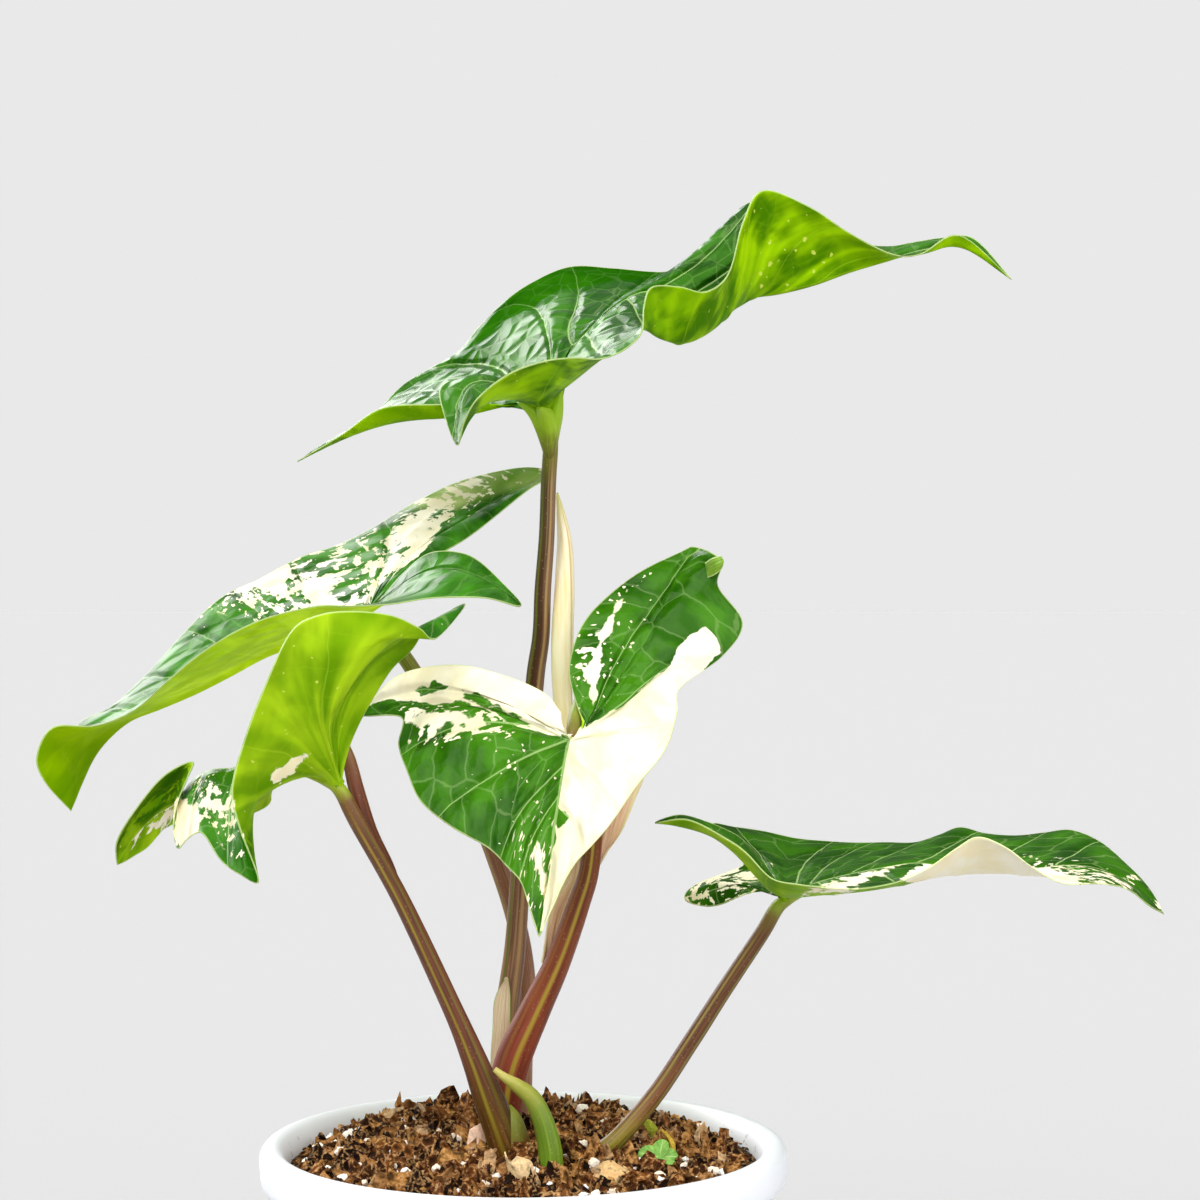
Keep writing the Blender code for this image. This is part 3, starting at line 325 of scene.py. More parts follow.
leftLeaf = {
    "midrib": [(-41, 25, 245), (-49.5, 27, 242), (-59, 28, 238), (-68, 28, 234.5),
               (-77, 27, 229.5), (-85.5, 26, 225), (-94.5, 24, 221), (-101.5, 21, 218),
               (-106.5, 18, 213.5), (-110, 16, 208.5), (-112.5, 13, 202), (-114.5, 10, 195.5)],
    "frontLobe": [
        [(-38, 23, 247.5), (-36, 22, 250.5)], [(-35, 18, 250), (-31, 17, 255.5)],
        [(-31.5, 12, 252), (-23.5, 10, 260.5)], [(-29, 8, 253), (-21, 4, 257), (-13.5, 3, 259.5)],
        [(-28, 5, 252.5), (-17, -2, 255), (-5.5, -4, 253)],
        [(-28, 3, 252), (-15, -5, 254.5), (-0.5, -8, 247)],
        [(-28.5, 0, 251), (-18, -10, 252), (-9, -15, 249)], [(-30, -2, 249), (-21.5, -16, 249)],
        [(-34, -3, 247.5), (-31.5, -18, 247.5)], [(-40, 0, 245.5), (-41.5, -16, 247)],
    ],
    "frontBlade": [
        [(-49, 5, 243.5), (-49.5, -14, 247)], [(-59.5, 4, 240.5), (-60.5, -15, 244.5)],
        [(-68.5, 4, 237), (-69, -15, 241)], [(-78, 6, 231.5), (-78, -13, 235.5)],
        [(-87, 8, 226.5), (-87, -9, 228.5)], [(-95.5, 10, 222), (-95.5, -5, 221.5)],
        [(-104, 9, 217.5), (-105.5, -3, 217.5)], [(-111.5, 9, 214), (-116.5, -1, 217)],
        [(-114.5, 8, 209.5), (-121, 1, 209.5)], [(-115, 8, 203), (-119.5, 4, 203)],
    ],
    "backLobe": [
        [(-38, 28, 249), (-35, 31, 252.5)], [(-33.5, 33, 255), (-27, 36, 258.5)],
        [(-30, 40, 260.5), (-15.5, 44, 265.5)], [(-27.5, 44, 263), (-14.5, 50, 271), (0, 54, 278.5)],
        [(-27.5, 46, 264.5), (-13.5, 54, 273.5), (7, 60, 282.5)],
        [(-29, 48, 266), (-16.5, 56, 276), (-2, 62, 284.5)],
        [(-32, 50, 266), (-24.5, 56, 273), (-18.5, 62, 281)], [(-36, 50, 263), (-31.5, 62, 275)],
        [(-41, 48, 259), (-44, 62, 267.5)], [(-46, 45, 255), (-53.5, 62, 263)],
    ],
    "backBlade": [
        [(-57, 45, 251), (-62.5, 60, 260)], [(-67.5, 44, 246), (-73.5, 58, 254)],
        [(-76.5, 42, 241), (-83.5, 56, 249)], [(-85, 40, 235), (-92, 53, 240.5)],
        [(-93.5, 37, 229), (-99, 50, 232)], [(-100, 33, 223), (-105, 44, 225)],
        [(-106, 28, 218.5), (-110, 37, 220)], [(-110, 22, 215), (-115.5, 30, 217)],
        [(-115, 18, 210.5), (-119, 22, 211.5)], [(-115.5, 14, 202.5), (-119, 16, 203)],
    ],
}
frontLeaf = {
    "midrib": [(-42.5, -30, 205), (-47, -27, 207), (-52.5, -24, 208.5), (-59, -21, 209),
               (-65, -18, 209), (-70.5, -16, 208), (-75, -14, 207.5), (-78.5, -12, 206),
               (-81, -11, 204), (-83, -10, 201.5), (-84.5, -9, 200), (-86.5, -8, 198.5),
               (-89, -7, 197), (-91.5, -6, 195), (-94.5, -6, 192), (-97.5, -5, 188),
               (-100, -5, 183.5)],
    "frontLobe": [
        [(-42, -31, 206.5), (-41.5, -31, 209.5)], [(-42, -33, 211), (-39.5, -31, 216)],
        [(-42.5, -34.5, 216), (-39.5, -34.5, 220.5), (-36, -31, 223)],
        [(-42.5, -36, 218.5), (-38, -37.5, 227.5), (-30.5, -30, 232)],
        [(-43, -37, 219.5), (-35.5, -39, 232.5), (-25.5, -28, 237)],
        [(-43, -38.5, 220), (-34, -39.5, 234.5), (-22, -23, 242.5)],
        [(-43, -40, 220.5), (-32.5, -42.5, 236), (-13.5, -20, 247.5)],
        [(-43, -41.5, 221), (-33, -46, 237.5), (-19.5, -33, 239.5)],
        [(-43.5, -43, 221.5), (-34.5, -48, 238), (-23, -40, 242)],
        [(-44, -43, 222), (-37, -49, 238), (-29, -46, 245)],
        [(-45, -44, 222), (-41, -50, 237), (-38, -50, 246)],
        [(-46.5, -44, 222), (-47, -50, 235), (-45.5, -52, 245)],
        [(-48.5, -44, 220.5), (-52, -50, 232.5), (-51.5, -53, 241)],
        [(-50, -42, 217.5), (-55.5, -49, 225.5), (-57.5, -54, 228)],
        [(-51, -40, 214), (-57, -48, 217.5), (-61.5, -54, 217.5)],
    ],
    "frontBlade": [
        [(-53, -36, 206.5), (-59, -44, 204.5), (-64.5, -54, 206)],
        [(-57.5, -34, 205), (-60.5, -42, 202), (-63, -53, 197)],
        [(-61.5, -32, 206), (-62, -42, 199), (-59, -50, 184.5)],
        [(-66.5, -28, 203.5), (-65.5, -38, 195), (-64, -46, 185.5)],
        [(-71, -26, 202), (-70, -34, 194.5), (-69, -42, 188.5)], [(-75.5, -24, 202), (-74, -36, 194)],
        [(-78.5, -22, 200.5), (-78, -32, 192.5)], [(-81.5, -18, 199), (-81.5, -26, 189.5)],
        [(-83.5, -16, 200), (-83, -23, 195)], [(-84, -13, 201), (-82.5, -20, 200)],
        [(-84.5, -11, 203), (-80.5, -18, 205.5)], [(-85.5, -10, 203.5), (-79.5, -16, 209.5)],
        [(-89.5, -9, 201), (-86, -15, 206.5)], [(-94, -9, 197), (-92, -14, 200)],
        [(-98.5, -7, 190), (-98.5, -11, 190.5)],
    ],
    "backLobe": [
        [(-43.5, -27, 207), (-43.5, -24, 209)], [(-45.5, -20, 212.5), (-44.5, -16, 216)],
        [(-48, -15, 215), (-44, -8, 223)], [(-49, -12, 217.5), (-45, -6, 224.5), (-40, -3, 230)],
        [(-51, -9, 218), (-50, -1, 226), (-47.5, 1, 230.5)],
        [(-53.5, -7, 217), (-56, 3, 223), (-58.5, 9, 226.5)], [(-56.5, -5, 213.5), (-63, 12, 217.5)],
    ],
    "backBlade": [
        [(-56.5, -6, 208), (-67, 14, 205.5)], [(-59.5, -8, 205), (-63.5, 6, 198.5)],
        [(-64.5, -7, 203), (-68.5, 6, 195)], [(-69, -6, 203), (-73.5, 6, 193.5)],
        [(-74, -5, 203), (-77.5, 5, 193)], [(-78, -5, 203), (-81, 4, 192.5)],
        [(-80.5, -4, 201.5), (-83, 3, 193)], [(-82.5, -4, 200.5), (-84.5, 2, 193)],
        [(-84, -4, 199), (-86, 1, 193)], [(-85.5, -4, 197.5), (-87, 0, 193)],
        [(-87, -4, 196), (-88, 0, 192.5)], [(-89, -4, 195), (-89.5, -1, 191.5)],
        [(-92, -4, 192.5), (-93, -1, 187.5)], [(-95, -4, 189.5), (-96, -2, 185.5)],
        [(-97.5, -4, 186), (-98.5, -3, 184)],
    ],
}
centreLeaf = {
    "midrib": [(11.5, -30, 215.5), (11, -33, 213), (10, -37, 207.5), (9, -41, 201),
               (8, -45, 194.5), (7.5, -48, 188), (6.5, -51, 181.5), (5, -56, 172.5)],
    "frontLobe": [
        [(10, -29, 218.5), (9.5, -28, 222)], [(7.5, -29, 219.5), (5.5, -26, 226.5)],
        [(4.5, -29, 220.5), (-4, -24, 230.5)], [(0, -28, 222), (-11, -24, 227), (-15.5, -21, 233)],
        [(-2.5, -28, 222), (-17, -23, 227), (-28.5, -18, 231)],
        [(-3.5, -27, 222), (-19.5, -22, 224), (-35.5, -15, 225.5)],
        [(-4, -27, 221.5), (-20.5, -22, 222.5), (-40, -12, 220.5)],
        [(-4, -28, 220), (-19.5, -24, 221), (-29, -20, 220.5)],
        [(-3.5, -30, 217.5), (-19, -28, 216.5), (-29, -27, 214)],
        [(-2.5, -32, 215), (-17.5, -32, 211.5), (-26.5, -32, 208)],
        [(0, -34, 212), (-14, -36, 205.5), (-23, -37, 201.5)],
    ],
    "frontBlade": [
        [(0, -37, 207), (-15.5, -42, 196)], [(0.5, -41, 201), (-7, -45, 191.5)],
        [(2, -44, 194.5), (-2.5, -48, 187.5)], [(4, -47, 189.5), (0.5, -50, 184.5)],
        [(5, -50, 184.5), (2, -52, 181)], [(5.5, -52, 179), (3.5, -54, 176.5)],
    ],
    "backLobe": [
        [(13.5, -29, 217), (15.5, -28, 219)], [(15.5, -27, 219.5), (13, -24, 224.5)],
        [(17, -25, 222), (14, -21, 229.5), (11.5, -18, 233)],
        [(19, -23, 224.5), (19, -16, 236.5), (15.5, -12, 244)],
        [(20, -22, 225), (26, -13, 241), (26.5, -6, 254)],
        [(21, -21, 225.5), (31, -12, 243.5), (38, -3, 260)],
        [(21.5, -21, 225.5), (33.5, -12, 245), (42.5, -2, 261.5)],
        [(22, -21, 225), (35.5, -13, 245), (44.5, -8, 256.5), (48.5, -12, 258)],
        [(22.5, -22, 224.5), (37, -14, 243), (47.5, -9, 252)],
        [(23.5, -23, 224), (38.5, -16, 239.5), (53.5, -11, 243)],
        [(24, -24, 223.5), (37, -19, 234), (48.5, -15, 235)],
        [(24, -26, 222), (32, -24, 227), (38, -22, 227.5)],
        [(23.5, -28, 219.5), (32, -28, 222), (37, -30, 222)],
        [(21.5, -31, 216), (29.5, -33, 214.5), (34, -36, 213.5)],
    ],
    "backBlade": [
        [(19, -36, 209), (27, -41, 205)], [(16.5, -40, 203.5), (21.5, -46, 197.5)],
        [(14, -44, 198), (17, -49, 192.5)], [(12, -47, 192.5), (13.5, -51, 189)],
        [(10, -50, 186), (10.5, -53, 184.5)], [(8, -52, 180.5), (8.5, -54, 180)],
    ],
}
rightLeaf = {
    "midrib": [(64, -5, 175.5), (68.5, 0, 177), (74, 3, 178.5), (81, 5, 180), (90, 7, 181.5),
               (98, 8, 182.5), (105.5, 9, 181.5), (113, 9, 181), (120.5, 9, 181), (128, 8, 181),
               (135, 7, 182), (142.5, 6, 181.5), (150, 5, 178.5), (154.5, 4, 175), (159, 2, 170.5)],
    "frontLobe": [
        [(62.5, -6, 178), (61, -6, 181)], [(59.5, -10, 182), (56.5, -8, 187)],
        [(56.5, -14, 185), (51.5, -10, 191.5)],
        [(53.5, -18, 188), (46.5, -14, 192.5), (43.5, -12, 195)],
        [(52.5, -20, 188.5), (44, -18, 193.5), (37.5, -15, 196.5)],
        [(52.5, -21, 188.5), (44, -22, 192.5), (32, -20, 195)],
        [(53, -24, 187.5), (46, -26, 192), (39.5, -27, 196.5)],
        [(54.5, -27, 184.5), (50.5, -31, 189), (48.5, -34, 192.5)],
        [(57, -26, 181.5), (54.5, -32, 185.5), (53, -38, 189.5)],
        [(61, -22, 177.5), (58.5, -40, 184)],
    ],
    "frontBlade": [
        [(67, -18, 177), (65, -40, 182.5)], [(73, -17, 177.5), (72.5, -38, 181.5)],
        [(81, -15, 178), (80, -35, 181)], [(90, -12, 179), (89, -30, 182)],
        [(99, -10, 180.5), (97, -26, 185)], [(105.5, -8, 181.5), (104, -24, 189.5)],
        [(112.5, -8, 182), (109, -24, 192)], [(119, -9, 182), (115.5, -24, 189.5)],
        [(125.5, -10, 181), (121.5, -24, 185)], [(132, -10, 181), (129, -24, 181)],
        [(140.5, -8, 181), (138.5, -20, 180.5)], [(148, -6, 178.5), (146.5, -14, 178.5)],
        [(154, -2, 174), (153.5, -6, 173.5)],
    ],
    "backLobe": [
        [(62, -1, 176), (60.5, 2, 176.5)], [(60, 2, 177), (55, 2, 175.5)],
        [(56, 4, 176.5), (48.5, 4, 172.5)], [(54.5, 6, 177), (47.5, 7, 176.5), (44, 6, 172)],
        [(54, 7, 177.5), (47, 9, 177), (40, 8, 173.5)],
        [(54.5, 10, 177.5), (48, 12, 178), (43, 13, 176.5)], [(60, 14, 178.5), (57, 19, 182.5)],
        [(59, 16, 181), (48, 30, 190)], [(61, 22, 183), (54, 36, 189)],
        [(64, 26, 182), (62, 40, 187.5)], [(67, 28, 180.5), (70.5, 42, 185.5)],
    ],
    "backBlade": [
        [(72.5, 28, 180.5), (79, 44, 184.5)], [(78.5, 28, 180.5), (87, 45, 184)],
        [(86.5, 30, 181.5), (95, 46, 184)], [(95.5, 30, 182), (102.5, 46, 184)],
        [(102, 30, 183.5), (109, 46, 186)], [(108.5, 30, 184), (114.5, 46, 188)],
        [(116, 30, 183.5), (121, 45, 186.5)], [(123.5, 28, 183.5), (129, 44, 186)],
        [(131, 27, 183.5), (136.5, 42, 187)], [(138.5, 24, 184), (142.5, 38, 188)],
        [(145.5, 18, 183.5), (148, 28, 186)], [(150.5, 12, 181), (152.5, 18, 181.5)],
        [(155.5, 8, 176.5), (156.5, 10, 176.5)],
    ],
}
# Stalks and other round parts run down from their tops: x, y, z and radius. The bottoms are in the bark.
topStalk = [
    (6.5, 1, 298, 0.4), (6.5, 0.5, 296.5, 1.8), (6, 0, 295, 2.9), (6, 0, 293, 2.7),
    (6.5, 0.5, 290, 2.0), (6.5, 1, 285.5, 1.9), (6, 2, 277.5, 1.9), (5.5, 4, 264, 2.0),
    (4.5, 6, 251, 2.1), (4, 8, 239.5, 2.2), (2.5, 9, 228.5, 2.3), (1, 10, 208, 2.4), (-1, 10, 183, 2.5),
    (-2.5, 9, 161.5, 2.7), (-4.5, 8, 145.5, 3.0), (-5, 8, 134.5, 3.3), (-4, 7, 123.5, 3.4),
    (-4, 7, 93.5, 3.3),
]
junctionVeins = [
    [(6.4, 0.8, 282, 0.9), (6.4, 0, 287, 1.9), (7, -1.4, 291.5, 2.2), (7.9, -2.8, 295, 1.9),
     (9.4, -4.2, 300.5, 0.4)],
    [(6.4, 0.8, 282, 0.9), (6.2, 0, 287, 1.9), (6, -2, 291.5, 2.6), (5, -5, 294.5, 2.1),
     (4, -9.5, 295.6, 0.5)],
    [(6.4, 0.8, 282, 0.9), (6, 0, 287, 1.9), (4.8, -1.6, 291.5, 2.3), (2.6, -3.8, 294.8, 1.8),
     (-1.2, -6.6, 297.2, 0.5)],
]
leftStalk = [
    (-40.5, 25, 245, 0.8), (-39.5, 26, 243.5, 1.6), (-36.5, 25, 239, 1.9), (-30.5, 23, 232.5, 2.0),
    (-22, 20, 218, 2.1), (-14.5, 18, 200, 2.2), (-8, 17, 183.5, 2.3), (-3, 17, 168.5, 2.4),
    (-0.5, 18, 155.5, 2.5), (0, 18, 144, 2.5), (-1, 18, 129, 2.6), (-1, 18, 90.5, 2.6),
]
frontStalk = [
    (-57, -22, 208, 0.3), (-51, -25, 207, 0.7), (-46, -27.5, 205.5, 1.2),
    (-42.5, -29.5, 203.5, 1.7), (-38.5, -29, 196, 2.0), (-28.5, -26, 177.5, 2.1),
    (-17, -20, 151.5, 2.4), (-12, -17, 139, 3.0), (-8, -14, 127.5, 3.8), (-5, -12, 118.5, 4.1),
    (-3, -11, 112, 4.2), (-2.5, -11, 97.5, 4.0),
]
centreStalk = [
    (12, -29.5, 216, 0.8), (12.5, -27, 218, 1.7), (13.5, -21, 222, 1.9), (15, -14, 223.5, 2.0),
    (16.5, -9, 215.5, 2.1), (17.5, -9, 202, 2.2), (16.5, -10, 184.5, 2.4), (13.5, -9, 174, 2.8),
    (8.5, -7, 160, 3.2), (3, -5, 148, 3.8), (-2.5, -3, 135.5, 4.4), (-4.5, -2, 126, 4.2),
    (-4, -2, 118, 3.4), (-3, -2, 95.5, 3.3),
]
rightStalk = [
    (74, 2, 177.5, 0.4), (68.5, -1, 176, 1.0), (64.5, -4, 174.5, 1.5), (62, -5, 172.5, 1.8),
    (58.5, -5, 166.5, 1.9), (49.5, -5, 153, 2.0),
    (41, -6, 140, 2.1), (32.5, -7, 127.5, 2.2), (23.5, -9, 117.5, 2.3), (16.5, -10, 112, 2.4),
    (10.5, -11, 106, 2.4), (8, -11, 99, 2.3),
]
newLeaf = [
    (8, 11, 275.5, 0.3), (9, 10, 270, 1.2), (10, 9, 262.5, 2.1), (10, 7, 251, 2.7),
    (9.5, 6, 238.5, 3.0), (9.5, 6, 226, 2.7), (10.5, 5.5, 215, 2.3), (13, 4, 199, 1.9),
    (15, 1, 187.5, 1.5),
]
greenShoot = [
    (-6.5, -20, 136, 0.7), (-4, -20, 134, 1.1), (-1, -20, 132, 1.7), (2.5, -20, 129, 2.2),
    (5, -20, 124, 2.5), (6.5, -20, 118.5, 2.8), (7, -20, 113.5, 3.0), (7, -20, 101, 3.0),
]
plantCrown = [
    (-3.5, -11.5, 125.5, 0.8), (-2.5, -12.5, 122.5, 2.3), (-1.5, -12.5, 117, 3.2),
    (-1.5, -12.5, 111, 3.3), (-1.5, -12, 100, 3.2),
]
frontSheath = [
    (-43, -24, 216, 1.0), (-41, -24, 210.5, 1.6), (-39, -24, 202.5, 1.9), (-36, -23.5, 193, 1.9),
    (-32, -22.5, 185, 1.6), (-29.5, -23, 180.5, 0.8),
]
# sheaths are sheets on rows of points from side to side
centreSheath = [
    [(4.5, -5, 159.5), (6, -3, 157.5), (7.5, -2.5, 156), (9, -3, 157), (10, -3.5, 159)],
    [(6.5, -3, 172), (9, -4, 171), (11, -4.5, 170), (13, -4.5, 170.5), (14.5, -5, 172)],
    [(11, -2.5, 181), (13, -5, 180.5), (15.5, -6, 180), (17, -6.5, 180.5), (18.5, -7, 183.5)],
    [(10.5, -1, 190.5), (13.5, -4, 190), (16.5, -6, 189.5), (20.5, -6.5, 190), (24, -6, 191.5)],
    [(10.5, 1, 199.5), (14, -3, 199.5), (17.5, -5.5, 199.5), (22.5, -5, 199.5), (27.5, -3, 199.5)],
    [(12, 2.5, 207), (15, -2, 207.5), (17.5, -5.5, 208), (23, -4, 207.5), (29.5, 0, 206)],
    [(15, 0, 213.5), (17, -3.5, 214.5), (19, -4.5, 215.5), (22, -3.5, 215), (25.5, 0, 213.5)],
]
topSheath = [
    [(-5, 4.5, 154), (-4.5, 4.5, 154.5), (-4, 4.5, 154)],
    [(-7.5, 6, 148.5), (-5.5, 4.5, 149), (-3.5, 4.5, 149.5)],
    [(-8, 5.5, 141), (-6, 4, 141.5), (-3.5, 4, 142.5)],
    [(-8.5, 5.5, 133.5), (-6.5, 4, 134), (-3.5, 4, 135)],
    [(-8, 5.5, 125), (-6.5, 3.5, 125), (-4, 3, 125)],
]
# dry scraps in the bark, each a sheet on rows of points: a papery scale beside the crown, a curled flake, a big
# pale chip and two wilted sprouts
scrapRows = {
    "papery_scale": [[(-13, -8, 119), (-11, -9.5, 120.5), (-9, -8, 121)],
                     [(-13.5, -9, 114.5), (-11, -11, 115), (-8, -9, 116)],
                     [(-11.5, -9, 109), (-9.5, -11, 109), (-7, -9, 109)]],
    "curled_flake": [[(-3.5, -35, 119.5), (-2.5, -37, 117.5), (-0.5, -37.5, 119)],
                     [(-2.5, -36, 115), (0, -38.5, 116), (3, -36.5, 117)],
                     [(-1, -37, 110), (1, -38.5, 110), (3, -37, 110)]],
    "pale_chip": [[(16.5, -27, 112.5), (20.5, -26.5, 115.5), (25, -27, 114)],
                  [(17, -30, 112.5), (21, -30.5, 114.5), (26, -30, 113)],
                  [(17.5, -33, 110.5), (21, -34, 112), (25.5, -33, 110.5)]],
    "wilted_sprout": [[(29, 5, 120.5), (29.5, 4.5, 120), (30, 5, 119.5)],
                      [(30, 3, 117.5), (31.5, 2.5, 118), (33, 3, 117)],
                      [(32.5, 2, 113), (33, 1.5, 113), (33.5, 2, 113)]],
    "yellow_sprout": [[(33.5, 0, 117), (34, -0.5, 117.5), (34.5, 0, 117)],
                      [(35.5, -1, 116.5), (36, -2, 115), (37, -1, 114.5)],
                      [(36.5, -1, 111), (37, -1.5, 111), (37.5, -1, 111)]],
}

# How the leaves look. Veins are pairs of places along the ribs: where a vein leaves the midrib, and where
# it meets the margin. Patches are outlines in the plane of the pot's middle, as the camera sees them: half,
# kind, outline, and how loose the edge is where it isn't 1. The other keys:
# leaf, flip: its ribs, and 1 where the front half's columns run the other way round
# perRib, rows, ease: columns for each rib, steps from midrib to margin, and how often columns are evened
# quilt, groove, bumps: height of the pillows and width of the low ground beside a vein in mm, strength of the bump
# streak, grain, drawn: width, or width and length, in mm of the streaks, the ragged patch edges and the mottling
# ragged: how far in mm a patch's edge strays; specks: share of cream specks where no patch says more
# netAcross, netAlong: cells of the small net across a lane, and their length in mm; cell: its even cells in mm
# netShow, veinShow: how much the net and the veins show; shine: smoothest and roughest; gloss: specular level
# underDark, underLight, underDeep, mottle, tipShade: tones of the underside, share of the deep one, and at the tip
# through: strength of a painted glow that stands in for light coming through the blade
plainLeaf = {
    "flip": -1, "perRib": 8, "rows": 48, "ease": 3, "streak": 2.4, "drawn": (5.0, 8.0), "specks": 0.0,
    "veinShow": 0.62, "tipShade": 0.0, "through": 0.0,
}
